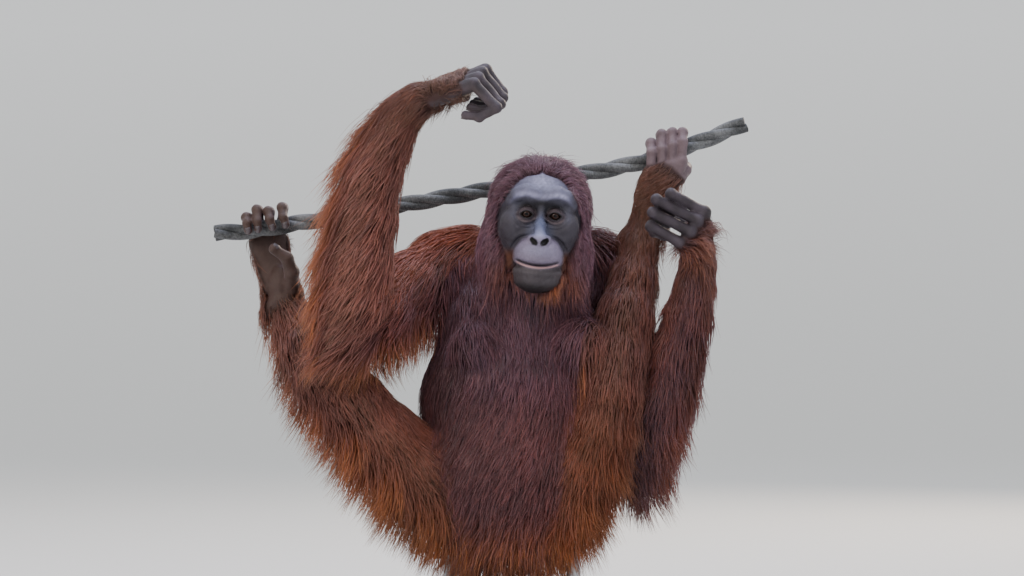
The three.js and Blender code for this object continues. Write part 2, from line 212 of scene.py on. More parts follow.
class Field:
    """Distances to a surface in millimetres on a regular grid, negative inside."""

    FAR = 120.0

    def __init__(self, low, high, step):
        self.low = np.array(low, float)
        self.step = float(step)
        self.size = np.ceil((np.array(high, float) - self.low) / step).astype(int) + 1
        self.value = np.full(self.size, self.FAR, np.float32)

    def window(self, low, high):
        """The slices and the coordinates of the grid between two corners."""
        first = np.clip(np.floor((np.array(low) - self.low) / self.step).astype(int), 0, self.size - 1)
        last = np.clip(np.ceil((np.array(high) - self.low) / self.step).astype(int) + 1, 1, self.size)
        places = tuple(slice(a, b) for a, b in zip(first, last))
        lines = [self.low[i] + self.step * np.arange(first[i], last[i], dtype=np.float32) for i in range(3)]
        return places, np.meshgrid(*lines, indexing="ij", sparse=True)

    def join(self, places, shape, soft):
        old = self.value[places]
        h = np.clip(0.5 + 0.5 * (old - shape) / soft, 0, 1)
        self.value[places] = old * (1 - h) + shape * h - soft * h * (1 - h)

    def cut(self, places, shape, soft):
        old = self.value[places]
        h = np.clip(0.5 - 0.5 * (old + shape) / soft, 0, 1)
        self.value[places] = old * (1 - h) - shape * h + soft * h * (1 - h)

    def bone(self, start, end, soft, pad=90.0, cutting=False, ripple=0.0):
        """A tapered round bar between two stations, each x, y, z and radius."""
        a, b = np.array(start, float), np.array(end, float)
        reach = max(a[3], b[3]) + pad
        places, (x, y, z) = self.window(np.minimum(a, b)[:3] - reach, np.maximum(a, b)[:3] + reach)
        along = b[:3] - a[:3]
        length = float(np.dot(along, along)) + 1e-9
        t = ((x - a[0]) * along[0] + (y - a[1]) * along[1] + (z - a[2]) * along[2]) / length
        t = np.clip(t, 0, 1)
        away = [line - start - t * way for line, start, way in zip((x, y, z), a, along)]
        off = np.sqrt(away[0] ** 2 + away[1] ** 2 + away[2] ** 2)
        radius = a[3] + t * (b[3] - a[3])
        if ripple:
            s = np.minimum(t, 1 - t) * math.sqrt(length)
            radius = radius + ripple * (1.6 * bell(s, 6.0) + 0.6 * np.cos(s * 2.1) * bell(s, 9.0))
        (self.cut if cutting else self.join)(places, off - radius, soft)

    def chain(self, stations, soft, **settings):
        for start, end in zip(stations, stations[1:]):
            self.bone(start, end, soft, **settings)

    def ball(self, centre, radii, soft, pad=90.0, cutting=False):
        """An ellipsoid along the grid's own axes."""
        reach = max(radii) + pad
        places, (x, y, z) = self.window(np.array(centre) - reach, np.array(centre) + reach)
        offsets = [line - middle for line, middle in zip((x, y, z), centre)]
        p = np.sqrt(sum((offset / radius) ** 2 for offset, radius in zip(offsets, radii)))
        q = sum(offset ** 2 / radius ** 4 for offset, radius in zip(offsets, radii))
        shape = p * (p - 1) / np.maximum(np.sqrt(q), 1e-6)
        (self.cut if cutting else self.join)(places, shape, soft)

    def swell(self, centre, widths, amount):
        """Raises the surface by amount round a centre, fading over the widths."""
        reach = 2.6 * np.array(widths, float)
        places, (x, y, z) = self.window(np.array(centre) - reach, np.array(centre) + reach)
        fade = bell(x - centre[0], widths[0]) * bell(y - centre[1], widths[1])
        fade = fade * bell(z - centre[2], widths[2])
        self.value[places] -= amount * fade

    def everywhere(self):
        return self.window(self.low, self.low + self.step * (self.size - 1))[1]

    def at(self, points):
        """Distances at free points, between the grid's own."""
        g = (points - self.low) / self.step
        inside = np.all((g >= 0) & (g <= self.size - 1.001), axis=-1)
        g = np.clip(g, 0, self.size - 1.001)
        i = g.astype(int)
        t = g - i
        total = 0
        for corner in np.ndindex(2, 2, 2):
            weight = np.prod(np.where(corner, t, 1 - t), axis=-1)
            total = total + weight * self.value[i[:, 0] + corner[0], i[:, 1] + corner[1], i[:, 2] + corner[2]]
        return np.where(inside, total, self.FAR)

    def slope(self, points):
        """The direction away from the surface."""
        h = self.step * 0.75
        moves = np.eye(3) * h
        return unit(np.stack([self.at(points + m) - self.at(points - m) for m in moves], axis=-1))

    def surface(self):
        """The zero surface, after the spots where it would touch itself are filled."""
        for _ in range(8):
            vertices, quads, corner = self.trace()
            edges = np.sort(np.concatenate([quads[:, [i, (i + 1) % 4]] for i in range(4)]), axis=1)
            names, counts = np.unique(edges[:, 0] * len(vertices) + edges[:, 1], return_counts=True)
            wrong = names[counts != 2]
            if len(wrong) == 0:
                break
            cells = corner[np.unique(np.concatenate([wrong // len(vertices), wrong % len(vertices)]))]
            for offset in np.ndindex(2, 2, 2):
                spot = np.clip(cells + offset, 1, self.size - 2)
                sides = [way * sign for way in np.eye(3, dtype=int) for sign in (-1, 1)]
                around = [self.value[tuple((spot + side).T)] for side in sides]
                filled = 0.4 * self.value[tuple(spot.T)] + 0.6 * np.mean(around, axis=0) - 0.06
                self.value[tuple(spot.T)] = filled
        return vertices, quads

    def trace(self):
        """Vertices and quads of the zero surface, facing out, with the grid cell of each vertex."""
        v = self.value
        inside = v < 0
        cells = self.size - 1
        count = np.zeros(cells, np.int8)
        for c in np.ndindex(2, 2, 2):
            count += inside[c[0]:c[0] + cells[0], c[1]:c[1] + cells[1], c[2]:c[2] + cells[2]]
        crossed = (count > 0) & (count < 8)
        index = np.full(cells, -1, np.int64)
        index[crossed] = np.arange(crossed.sum())
        corner = np.argwhere(crossed)
        total = np.zeros((len(corner), 3))
        hits = np.zeros(len(corner))
        quads = []
        for axis in range(3):
            side, up = (axis + 1) % 3, (axis + 2) % 3
            for i, j in np.ndindex(2, 2):
                offset = np.zeros(3, int)
                offset[side], offset[up] = i, j
                a = corner + offset
                b = a.copy()
                b[:, axis] += 1
                low, high = v[tuple(a.T)], v[tuple(b.T)]
                hit = (low < 0) != (high < 0)
                point = np.tile(offset.astype(float), (len(corner), 1))
                point[:, axis] = low / np.where(hit, low - high, 1.0)
                total[hit] += point[hit]
                hits += hit
            ahead = np.moveaxis(inside, axis, 0)
            change = np.argwhere(np.moveaxis(ahead[:-1] != ahead[1:], 0, axis))
            change = change[(change[:, side] > 0) & (change[:, up] > 0)]
            change = change[(change[:, side] < cells[side]) & (change[:, up] < cells[up])]
            step_side, step_up = np.eye(3, dtype=int)[side], np.eye(3, dtype=int)[up]
            ring = [change, change - step_side, change - step_side - step_up, change - step_up]
            ring = np.stack([index[tuple(c.T)] for c in ring], axis=1)
            leaving = inside[tuple(change.T)]
            quads.append(np.where(leaving[:, None], ring, ring[:, ::-1]))
        vertices = self.low + self.step * (corner + total / hits[:, None])
        return vertices, np.concatenate(quads), corner


def smooth_noise(points, size, seed):
    """Soft noise in -1 to 1, made from waves in a few random directions, with features of one size."""
    rng = np.random.default_rng(seed)
    total = np.zeros(points.shape[:-1])
    for _ in range(7):
        wave = unit(rng.normal(size=3)) * 2 * math.pi / (size * rng.uniform(1.4, 2.8))
        total += np.sin(points @ wave + rng.uniform(0, 2 * math.pi))
    return total / 3.2


def to_head(points):
    return (points - FACE_POINT) @ HEAD_AXES.T


def from_head(points):
    return np.asarray(points, float) @ HEAD_AXES + FACE_POINT


# The bare face is the middle of the head's front, with the hairline as its edge
HAIRLINE_V = (-150, -132, -124, -112, -95, -70, -50, -30, 0, 18, 40, 54, 63, 68, 90)
HAIRLINE_U = (-18, 0, 26, 38, 44, 48, 57, 66, 68, 62, 48, 35, 22, 0, -22)


def face_depth(local):
    """How far a point lies inside the bare face, in millimetres. It is negative under the hair."""
    across = np.interp(local[..., 2], HAIRLINE_V, HAIRLINE_U) - np.abs(local[..., 0] + 2)
    return np.minimum(across, (local[..., 1] + 66) * 1.2)


HEAD_FORMS = [
    ((-3, -88, 20), (79, 79, 73), 4),
    ((0, -42, -34), (62, 38, 46), 14),
    ((-52, -88, -46), (40, 44, 56), 16),
    ((44, -88, -46), (38, 44, 56), 16),
    ((0, -30, 26), (50, 32, 28), 12),
    ((-42, -24, -16), (25, 22, 28), 12),
    ((40, -24, -16), (25, 22, 28), 12),
    ((1, -4, -61), (40, 43, 26), 9),
    ((1, -6, -73), (43, 42, 20), 10),
    ((1, -8, -95), (42, 42, 16), 6),
    ((1, -12, -108), (38, 38, 22), 8),
]
BROWS = [
    [(side * u, f, v, r) for u, f, v, r in (
        (50, -24, 20, 10), (40, -13, 33, 11), (25, -9, 38, 11), (10, -9, 33, 10), (0, -11, 27, 9))]
    for side in (-1, 1)
]
NOSE = [(0, -10, 18, 8), (0, -6, 0, 7), (0, 2, -18, 9), (1, 17, -34, 10)]
NOSTRILS = [
    [(side * 12.5, 31, -42, 3.2), (side * 9, 36, -45.5, 4.4), (side * 5, 38, -48, 3.4)]
    for side in (-1, 1)
]


def almond(u, v, half_width, half_height, lift=0.0):
    """Distance to the outline of an eye's opening, negative inside."""
    arc = (half_width ** 2 + half_height ** 2) / (2 * half_height)
    rise = arc - half_height
    v = v - lift
    return np.maximum(np.hypot(u, v + rise), np.hypot(u, v - rise)) - arc


def mouth_height(u):
    """The line between the lips, which rises a little to the corners."""
    return -84.5 + 8.0 * np.clip(np.abs(u) / 37, 0, 1.2) ** 2


def make_face():
    """The face in its own frame, fine enough for lids, nostrils, lips and folds."""
    field = Field((-88, -74, -142), (86, 52, 84), FACE_GRID)
    for centre, radii, soft in HEAD_FORMS:
        field.ball(centre, radii, soft)
    for brow in BROWS:
        field.chain(brow, 7.0, pad=30)
    field.chain(NOSE, 7.0, pad=30)
    field.ball((1, 25, -41), (16, 12, 9), 5.0, pad=30)
    for side in (-1, 1):
        field.bone((1 + side * 14, 21, -40, 6), (1 + side * 9, 31, -48, 5), 3.0, pad=20)
    for nostril in NOSTRILS:
        field.chain(nostril, 1.6, pad=20, cutting=True)
    u, f, v = field.everywhere()
    front = ramp(f, -40, -20)
    for side in (-1, 1):
        centre = side * EYE_SIDE
        field.swell((centre + side * 1, -6, 16), (17, 16, 9), -8.0)
        field.swell((centre - side * 11, -2, 4), (6, 12, 10), -3.2)
        field.swell((centre + side * 18, -8, 0), (9, 16, 10), -2.2)
        field.ball((centre, EYE_DEPTH, 0), (14.6, 14.4, 13.8), 3.0, pad=20)
        ring = almond(u - centre, v, 10.6, 6.6, -0.6)
        lid = bell(ring - 0.8, 1.3) * 0.8 - bell(ring - 3.6, 1.0) * 1.1
        bag = ramp(-v, 0, 5) * (bell(ring - 6.2, 2.2) * 1.6 - bell(ring - 9.6, 1.3) * 1.2)
        bag = bag + ramp(-v, 0, 5) * (bell(ring - 13, 2.0) * 0.8 - bell(ring - 16, 1.4) * 0.9)
        fold = ramp(v, 0, 4) * (bell(ring - 6.2, 1.6) * 0.8 - bell(ring - 8.4, 1.0) * 0.9)
        field.value -= (lid + bag + fold) * front
        opening = np.maximum(almond(u - centre, v, *EYE_OPENING), EYE_DEPTH + 2 - f)
        everything = tuple(slice(None) for _ in range(3))
        field.cut(everything, opening + np.zeros_like(field.value), 0.9)
    line = v - mouth_height(u)
    on_mouth = ramp(39 - np.abs(u), 0, 6) * ramp(f, -16, -4)
    field.value += on_mouth * bell(line, 1.7) * 2.2
    field.value -= on_mouth * (bell(line - 6.5, 4.0) * 1.2 + bell(line + 3.6, 2.4) * 1.5)
    field.value += on_mouth * bell(line + 10.5, 3.6) * 1.8
    for side in (-1, 1):
        fold = np.hypot((u - 1 - side * 16) / 34, (v + 76) / 41) - 1
        cheek = ramp(side * (u - 1), 14, 24) * ramp(v, -84, -68) * ramp(-v, 26, 36) * front
        field.value += cheek * (bell(fold * 36, 1.8) * 2.2 - bell(fold * 36 - 5, 4) * 1.2)
    for height, depth in ((6.5, 0.9), (1.5, 0.8), (-3.5, 0.6)):
        field.value += bell(v - height - 0.02 * u * u, 1.0) * bell(u, 7) * front * depth
    grid = np.stack(np.broadcast_arrays(u, f, v), axis=-1)
    field.value += (0.35 * smooth_noise(grid, 5, 3) + 0.45 * smooth_noise(grid, 13, 4)).astype(np.float32)
    wrinkle = np.sin(u * 1.55 + 1.8 * np.sin(v * 0.11) + 0.8 * np.sin(v * 0.31 + u * 0.1))
    on_lip = ramp(line, 3, 8) * ramp(-v, 48, 56) * ramp(f, 8, 20)
    field.value += on_lip * wrinkle * 0.30
    inside = face_depth(grid)
    field.value += (14 * ramp(-inside, 3, 17)).astype(np.float32)
    wall = np.maximum(np.maximum(-69 - f, np.abs(u) - 83), np.maximum(v - 80, -138 - v))
    field.value = np.maximum(field.value, wall)
    return field


def hooked_toe(x, arch, towards, drift, lean):
    """The line of a toe that comes up on one side of the rope, goes over it and down the other."""
    rope = np.interp(x, *zip(*ROPE_HEIGHTS))
    away = ROPE_RADIUS + 8.8 + 1
    return [
        (x - lean, ROPE_Y - towards * (away + 6), rope - 22),
        (x - lean * 0.3, ROPE_Y - towards * (away + 3), rope + 10),
        (x, ROPE_Y - towards * away * 0.62, rope + arch),
        (x, ROPE_Y + towards * away * 0.62, rope + arch),
        (x + drift * 0.4, ROPE_Y + towards * (away + 1), rope + 14),
        (x + drift, ROPE_Y + towards * (away + 1), rope + 1),
    ]


def stations(line, radii):
    return [(*p, radii[min(i, len(radii) - 1)]) for i, p in enumerate(line)]


TOES_RIGHT = [hooked_toe(x, arch, -1, drift, lean) for x, arch, drift, lean in RIGHT_TOES]
TOES_LEFT = [hooked_toe(x, arch, 1, drift, lean) for x, arch, drift, lean in LEFT_TOES]
DIGITS = {
    "hand_right": [*RIGHT_FINGERS.values(), RIGHT_THUMB],
    "hand_left": [*LEFT_FINGERS.values(), LEFT_THUMB],
    "foot_right": [*TOES_RIGHT, RIGHT_BIG_TOE],
    "foot_left": [*TOES_LEFT, LEFT_BIG_TOE],
}
DIGIT_RADII = {
    "hand_right": [FINGER_RADII] * 4 + [THUMB_RADII],
    "hand_left": [FINGER_RADII] * 4 + [THUMB_RADII],
    "foot_right": [TOE_RADII] * 4 + [(14, 12.5, 10.5, 8.4)],
    "foot_left": [TOE_RADII] * 4 + [(10.6, 9.6, 8.6, 7.1)],
}
PALM_BONES = {
    "hand_right": [((-150, -122 - 6 * i, 917 - 3 * i, 14.5), RIGHT_FINGERS[n][0]) for i, n in
                   enumerate(("index", "middle", "ring", "little"))],
    "hand_left": [((314 - 4 * i, -66 - 4 * i, 672 - 5 * i, 14), LEFT_FINGERS[n][0]) for i, n in
                  enumerate(("index", "middle", "ring", "little"))],
    "foot_right": [((-404 - 3 * i, 84, 606, 16), toe[0]) for i, toe in enumerate(TOES_RIGHT[::-1])],
    "foot_left": [((222 + 6 * i, 33, 700, 17), toe[0]) for i, toe in enumerate(TOES_LEFT)],
}
PALM_PADS = {
    "hand_right": [((-122, -108, 921), (24, 15, 17)), ((-118, -150, 922), (26, 16, 16))],
    "hand_left": [((306, -64, 682), (15, 15, 20)), ((300, -92, 682), (14, 16, 20))],
    "foot_right": [((-409, 80, 562), (17, 19, 22)), ((-397, 70, 612), (20, 18, 26))],
    "foot_left": [((209, 37, 686), (20, 24, 16)), ((240, 33, 748), (22, 15, 30))],
}
CUFFS = {
    "hand_right": [(-188, -116, 882, 19), (-174, -119, 899, 22.5), (-156, -124, 913, 22.5)],
    "hand_left": [(312, -48, 626, 17), (313, -52, 650, 21), (313, -64, 668, 20)],
    "foot_right": [(-376, 64, 552, 21), (-393, 79, 578, 23.5), (-400, 84, 600, 20)],
    "foot_left": [(210, 12, 642, 22), (218, 26, 676, 25), (224, 32, 700, 21)],
}

KNUCKLE_RADIUS = 10.8
PALM_SOFTNESS = 7.0
DIGIT_SOFTNESS = 3.0


def make_grip(name):
    """A hand or foot with its digits, palm or sole and a stub that ends inside the limb."""
    corners = np.array([p[:3] for line in DIGITS[name] for p in line] + [p[:3] for p in CUFFS[name]])
    field = Field(corners.min(axis=0) - 34, corners.max(axis=0) + 34, GRIP_GRID)
    field.chain(CUFFS[name], 6.0, pad=40)
    for start, knuckle in PALM_BONES[name]:
        field.bone(start, (*knuckle, KNUCKLE_RADIUS), PALM_SOFTNESS, pad=40)
    for centre, radii in PALM_PADS[name]:
        field.ball(centre, radii, PALM_SOFTNESS, pad=40)
    palm = field.value.copy()
    for line, radii in zip(DIGITS[name], DIGIT_RADII[name]):
        single = Field(field.low, field.low + field.step * (field.size - 1), field.step)
        single.value = single.value[:field.size[0], :field.size[1], :field.size[2]]
        single.chain(stations(line, radii), 2.0, pad=16, ripple=0.5)
        field.value = np.minimum(field.value, single.value)
    h = np.clip(0.5 + 0.5 * (palm - field.value) / DIGIT_SOFTNESS, 0, 1)
    field.value = palm * (1 - h) + field.value * h - DIGIT_SOFTNESS * h * (1 - h)
    grid = np.stack(np.broadcast_arrays(*field.everywhere()), axis=-1)
    field.value += (0.25 * smooth_noise(grid, 6, 11) + 0.3 * smooth_noise(grid, 15, 12)).astype(np.float32)
    return field


def make_body():
    """The trunk, limbs and head, without hands, feet and the fine face."""
    field = Field((-440, -240, 96), (345, 175, 950), BODY_GRID)
    for centre, radii in TRUNK_FORMS:
        field.ball(centre, radii, 30)
    for name, line in LIMBS.items():
        field.chain(line, 14 if "forearm" in name or "shank" in name else 22)
    field.chain(NECK, 24)
    for centre, radii in BREASTS:
        field.ball(centre, radii, 16)
    for centre, radii, soft in HEAD_FORMS:
        field.ball(from_head(centre), radii, max(soft, 8))
    # The fine face stands over the coarse one, which is sunk under it
    places, lines = field.window((-60, -230, 560), (150, -60, 860))
    local = to_head(np.stack(np.broadcast_arrays(*lines), axis=-1).astype(float))
    field.value[places] += (10 * ramp(face_depth(local), -14, -4)).astype(np.float32)
    return field


def build_mesh(name, vertices, faces, smooth=True):
    """A mesh from millimetre vertices and faces of three or four corners."""
    mesh = bpy.data.meshes.new(name)
    count = faces.shape[1]
    mesh.vertices.add(len(vertices))
    mesh.vertices.foreach_set("co", (np.asarray(vertices) * MM).astype(np.float32).ravel())
    mesh.loops.add(faces.size)
    mesh.loops.foreach_set("vertex_index", faces.astype(np.int32).ravel())
    mesh.polygons.add(len(faces))
    mesh.polygons.foreach_set("loop_start", np.arange(0, faces.size, count, dtype=np.int32))
    mesh.update(calc_edges=True)
    mesh.polygons.foreach_set("use_smooth", np.full(len(faces), smooth))
    return mesh


def add_piece(name, mesh, material):
    """A piece of the animal with its material, riding on the one body."""
    made = new_object(name, mesh)
    mesh.materials.append(material)
    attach(made, "root")
    return made


def make_ear(side):
    """A small round ear with a rolled rim and a hollow, in the head's frame."""
    field = Field((side * 80 - 22, -112, -22), (side * 80 + 22, -56, 38), EAR_GRID)
    field.ball((side * 77, -84, 8), (7.5, 15, 19), 2.0, pad=40)
    field.ball((side * 69, -88, 4), (12, 11, 14), 5.0, pad=40)
    field.ball((side * 85, -80, 9), (6.5, 9, 12), 2.5, pad=40, cutting=True)
    field.ball((side * 79, -72, 2), (4, 4, 6), 2.0, pad=40)
    return field


# The skin's fields, each with the way from the world to its own frame

BODY = make_body()
FACE = make_face()
GRIPS = {name: make_grip(name) for name in DIGITS}
EARS = [make_ear(side) for side in (-1, 1)]


def skin_at(points):
    """Distance to the skin of the whole animal."""
    near = BODY.at(points)
    for grip in GRIPS.values():
        near = np.minimum(near, grip.at(points))
    return np.minimum(near, FACE.at(to_head(points)))


def skin_slope(points):
    moves = np.eye(3) * 4.0
    return unit(np.stack([skin_at(points + m) - skin_at(points - m) for m in moves], axis=-1))


# Zones of the body, with the lie, length and colours of their hair

def down_the_chest(points):
    inward = -0.006 * (points[:, 0] - 15) * ramp(points[:, 2], 440, 560)
    return unit(np.stack([inward, -0.1 + 0 * inward, -1.0 + 0 * inward], axis=-1))


def down_the_belly(points):
    """Slanted down to the animal's right, and straight down beside the left thigh."""
    slant = -0.6 * (1 - ramp(points[:, 0], 50, 120)) * ramp(points[:, 0], -150, -60)
    return unit(np.stack([slant, -0.1 + 0 * slant, -1.0 + 0 * slant], axis=-1))


def across_the_raised_arm(points):
    return np.tile(unit(np.array([-0.76, -0.1, -0.64])), (len(points), 1))


def down_the_back(points):
    return unit(np.stack([0.0025 * points[:, 0], 0 * points[:, 0], -1 + 0 * points[:, 0]], axis=-1))


def over_the_head(points):
    """Swept up and back from the hairline, and down the sides of the head."""
    local = to_head(points)
    u, f, v = local.T
    high = ramp(v, 6, 46)
    swept = np.stack([0.010 * u, -1.0 + 0 * u, 0.75 * ramp(f, -50, 0)], axis=-1)
    hanging = np.stack([0.012 * u, -0.28 + 0 * u, -1 + 0 * u], axis=-1)
    return unit(swept * high[:, None] + hanging * (1 - high[:, None])) @ HEAD_AXES


def beard(points):
    u = to_head(points)[:, 0]
    return unit(np.stack([0.008 * u, 0.25 + 0 * u, -1 + 0 * u], axis=-1)) @ HEAD_AXES


def line_of(*points):
    return [tuple(map(float, p)) for p in points]


HEAD_LINE = [(*from_head((0, -86, 26)), 72.0), (*from_head((0, -76, -30)), 68.0)]
JAW_LINE = [(*from_head((0, -48, -88)), 46.0), (*from_head((0, -30, -112)), 36.0)]
CHEST_LINE = line_of((96, 20, 600, 66), (30, -8, 585, 88), (14, -8, 520, 92), (6, -8, 450, 104))
CHEST_RIGHT_LINE = line_of((-62, 30, 600, 66), (0, -6, 560, 88))
BELLY_LINE = line_of((4, -8, 420, 108), (0, -6, 320, 118), (-2, 0, 225, 96))
BACK_LINE = line_of(
    (18, 78, 636, 60), (14, 50, 540, 82), (4, 42, 420, 96), (0, 42, 300, 104), (-2, 44, 220, 86),
)

# Root, middle and tip of the hair. The paler tips are partly the hair's own colour and partly a painted
# highlight, and the lilac of the chest and head hair is partly a painted reflection of the pale sky
HAIR = {
    "chest": ("#28161b", "#4c2a32", "#7b525b"),
    "belly": ("#2a1517", "#55292b", "#884e48"),
    "back": ("#331a15", "#683528", "#965a40"),
    "head": ("#2e1a22", "#5c3a46", "#9c7486"),
    "beard": ("#3a1c14", "#763f28", "#b4704a"),
    "upper_arm": ("#2e1719", "#603133", "#96584f"),
    "forearm": ("#331a1a", "#6e3c36", "#ae7464"),
    "dark_arm": ("#221011", "#532822", "#8c5042"),
    "leg_right": ("#2d1613", "#5f3026", "#935440"),
    "leg_left": ("#33170f", "#713520", "#a65c3c"),
    "shank": ("#301918", "#5e3430", "#945c4c"),
    "hand": ("#241718", "#523029", "#8f5c48"),
    # The fringe colours stand for light shining through the loose hair that hangs underneath: painted glow
    "fringe": ("#431d10", "#8e4624", "#c87c42"),
    # Painted highlight on the top of the right shoulder, paler and more orange
    "hump": ("#4c2218", "#9a4c32", "#c87850"),
}

# Painted shade on the front, where less light falls: armpit, crease under the breasts, groin, elbow, flank
PAINTED_SHADE_SPOTS = [
    (-222, 520, 55, 40, 0.35), (26, 498, 100, 12, 0.45), (-15, 140, 62, 40, 0.5), (208, 350, 50, 90, 0.4),
    (-100, 455, 34, 80, 0.4), (180, 560, 30, 70, 0.35),
]


def painted_shade_level(points):
    """How dark the skin and the coat are painted in the shaded places of the front, from 0.5 to 1: painted
    shade.
    """
    level = np.ones(len(points))
    for x, z, wide, high, amount in PAINTED_SHADE_SPOTS:
        level *= 1 - amount * bell(points[:, 0] - x, wide) * bell(points[:, 2] - z, high)
    # Painted shade under the chin, over the throat
    local = to_head(points)
    shade_under_chin = ramp(-local[:, 2], 108, 128) * ramp(160 + local[:, 2], 0, 30)
    level *= 1 - 0.6 * bell(local[:, 0] + 2, 26) * shade_under_chin
    return level


# Each zone: its line, the lie, length, depth, half width and density of its hair, and its colours.
# A lie of 1 or -1 runs with the line or against it
LENGTH, DEPTH, HALF_WIDTH, DENSITY, COLOURS = range(2, 7)
ZONES = {
    "chest": (CHEST_LINE, down_the_chest, 62, 9, 1.0, 1.0, "chest"),
    "chest_right": (CHEST_RIGHT_LINE, down_the_chest, 62, 9, 1.0, 1.0, "chest"),
    "belly": (BELLY_LINE, down_the_belly, 56, 10, 1.05, 1.0, "belly"),
    "back": (BACK_LINE, down_the_back, 92, 14, 1.2, 0.85, "back"),
    "neck": (NECK, beard, 62, 10, 1.0, 1.0, "chest"),
    "head": (HEAD_LINE, over_the_head, 46, 8, 0.62, 2.0, "head"),
    "jaw": (JAW_LINE, beard, 34, 6, 0.55, 2.0, "beard"),
    "upper_arm_right": (LIMBS["upper_arm_right"], 1, 74, 11, 1.05, 1.05, "upper_arm"),
    "forearm_right": (LIMBS["forearm_right"], across_the_raised_arm, 66, 11, 1.0, 1.1, "forearm"),
    "upper_arm_left": (LIMBS["upper_arm_left"], 1, 80, 12, 1.1, 1.0, "dark_arm"),
    "forearm_left": (LIMBS["forearm_left"], -1, 68, 10, 1.0, 1.1, "dark_arm"),
    "thigh_right": (LIMBS["thigh_right"], -1, 54, 9, 1.0, 1.1, "leg_right"),
    "shank_right": (LIMBS["shank_right"], -1, 56, 9, 1.0, 1.15, "shank"),
    "thigh_left": (LIMBS["thigh_left"], -1, 54, 9, 1.0, 1.1, "leg_left"),
    "shank_left": (LIMBS["shank_left"], -1, 56, 9, 1.0, 1.15, "shank"),
}
PALM_FACING = {
    "hand_right": (-0.35, 0, -0.94),
    "hand_left": (-0.2, 0.94, 0.2),
    "foot_right": (0, -1, 0),
    "foot_left": (0, 1, 0),
}
for grip in DIGITS:
    middles = [(*np.mean([start[:3], end[:3]], axis=0), 16.0) for start, end in PALM_BONES[grip]]
    ZONES[grip] = ([*CUFFS[grip][:2], *middles], -1, 38, 6.5, 0.65, 2.8, "hand")
    ZONES["digits_" + grip] = (None, -1, 10, 1, 0.5, 0.0, "hand")
ZONE_NAMES = list(ZONES)


def nearest_on(line, points):
    """Distance to a line of stations, with its direction, the way along it and the angle round it."""
    best = np.full(len(points), 1e9)
    heading = np.zeros((len(points), 3))
    along = np.zeros(len(points))
    turn = np.zeros(len(points))
    for i, (start, end) in enumerate(zip(line, line[1:])):
        a, b = np.array(start), np.array(end)
        way = b[:3] - a[:3]
        t = np.clip((points - a[:3]) @ way / (way @ way), 0, 1)
        off = points - a[:3] - t[:, None] * way
        gap = np.linalg.norm(off, axis=1) - (a[3] + t * (b[3] - a[3]))
        closer = gap < best
        side = unit(np.cross(way, (0.31, 0.93, 0.2)))
        up = unit(np.cross(way, side))
        best = np.where(closer, gap, best)
        heading[closer] = unit(way)
        along = np.where(closer, (i + t) / (len(line) - 1), along)
        turn = np.where(closer, np.arctan2(off @ up, off @ side) / (2 * math.pi) + 0.5, turn)
    return best, heading, along, turn


def digit_gap(grip, points):
    """Distance to the bare part of the digits, which starts past the hair on the knuckles."""
    gaps = []
    for line, radii in zip(DIGITS[grip], DIGIT_RADII[grip]):
        first = 1 if len(line) == 3 else len(line) // 2 - 1 if "foot" in grip else 0
        gaps.append(nearest_on(stations(line[first:], radii), points)[0] + 6)
    return np.min(gaps, axis=0)


def survey(points):
    """For each point the shares of the zones, the lie of the hair and its place on the zone's unwrap."""
    gaps, flows, places = [], [], []
    for name, (line, run, *_) in ZONES.items():
        if line is None:
            gaps.append(digit_gap(name.replace("digits_", ""), points) + 3)
            flows.append(np.tile(DOWN, (len(points), 1)))
            places.append(np.zeros((len(points), 2)))
            continue
        gap, heading, along, turn = nearest_on(line, points)
        gaps.append(gap)
        flows.append(run(points) if callable(run) else heading * run)
        places.append(np.stack([turn, along], axis=-1))
    gaps = np.array(gaps)
    shares = np.exp(-(gaps - gaps.min(axis=0)) / 9.0)
    shares /= shares.sum(axis=0)
    flow = np.einsum("zn,znk->nk", shares, np.array(flows))
    zone = gaps.argmin(axis=0)
    place = np.array(places)[zone, np.arange(len(points))]
    return shares, unit(flow), zone, place


def blended(shares, column):
    return np.array([zone[column] for zone in ZONES.values()]) @ shares


def hair_tone(shares, part):
    table = np.array([tone(HAIR[zone[COLOURS]][part]) for zone in ZONES.values()])
    return shares.T @ table


# Colours of the bare skin. The socket and nostril colours are painted shade, the line colour is painted
# shadow at the mouth, shine and the nose colour are painted highlights, and the brow colour is the skin's own
# grey with a painted highlight
SKIN = {
    "slate": "#4e4d5a", "cheek": "#3a363e", "brow": "#63637a", "shine": "#9f9ebd", "socket": "#120e11",
    "lid": "#3a2e33", "bag": "#5f5357", "nose_highlight": "#5c6380", "muzzle": "#6f6678", "lip": "#b08a8a",
    "line": "#120d0e", "chin": "#443e42", "whiskers": "#74462f", "hand": "#2d262b", "knuckle": "#5e545f",
    "palm": "#443a3b", "toe": "#6a595e", "sole": "#463530", "nostril_shade": "#050404",
}


def palm_bareness(shares, zone, place, normals):
    """For each hand and foot, how bare a point is: the digits and the palm or sole, not the wrist."""
    result = {}
    for grip, facing in PALM_FACING.items():
        own, digits = ZONE_NAMES.index(grip), ZONE_NAMES.index("digits_" + grip)
        if "hand" in grip:
            past_wrist = np.where(zone == own, ramp(place[:, 1], 0.34, 0.46), zone == digits)
            inner = ramp(normals @ np.array(facing), 0.35, 0.85) * past_wrist
        else:
            inner = ramp(normals @ np.array(facing), 0.0, 0.6)
        palm = ramp(shares[own] + shares[digits], 0.35, 0.7) * inner
        result[grip] = np.maximum(palm, ramp(shares[digits], 0.3, 0.6))
    return result


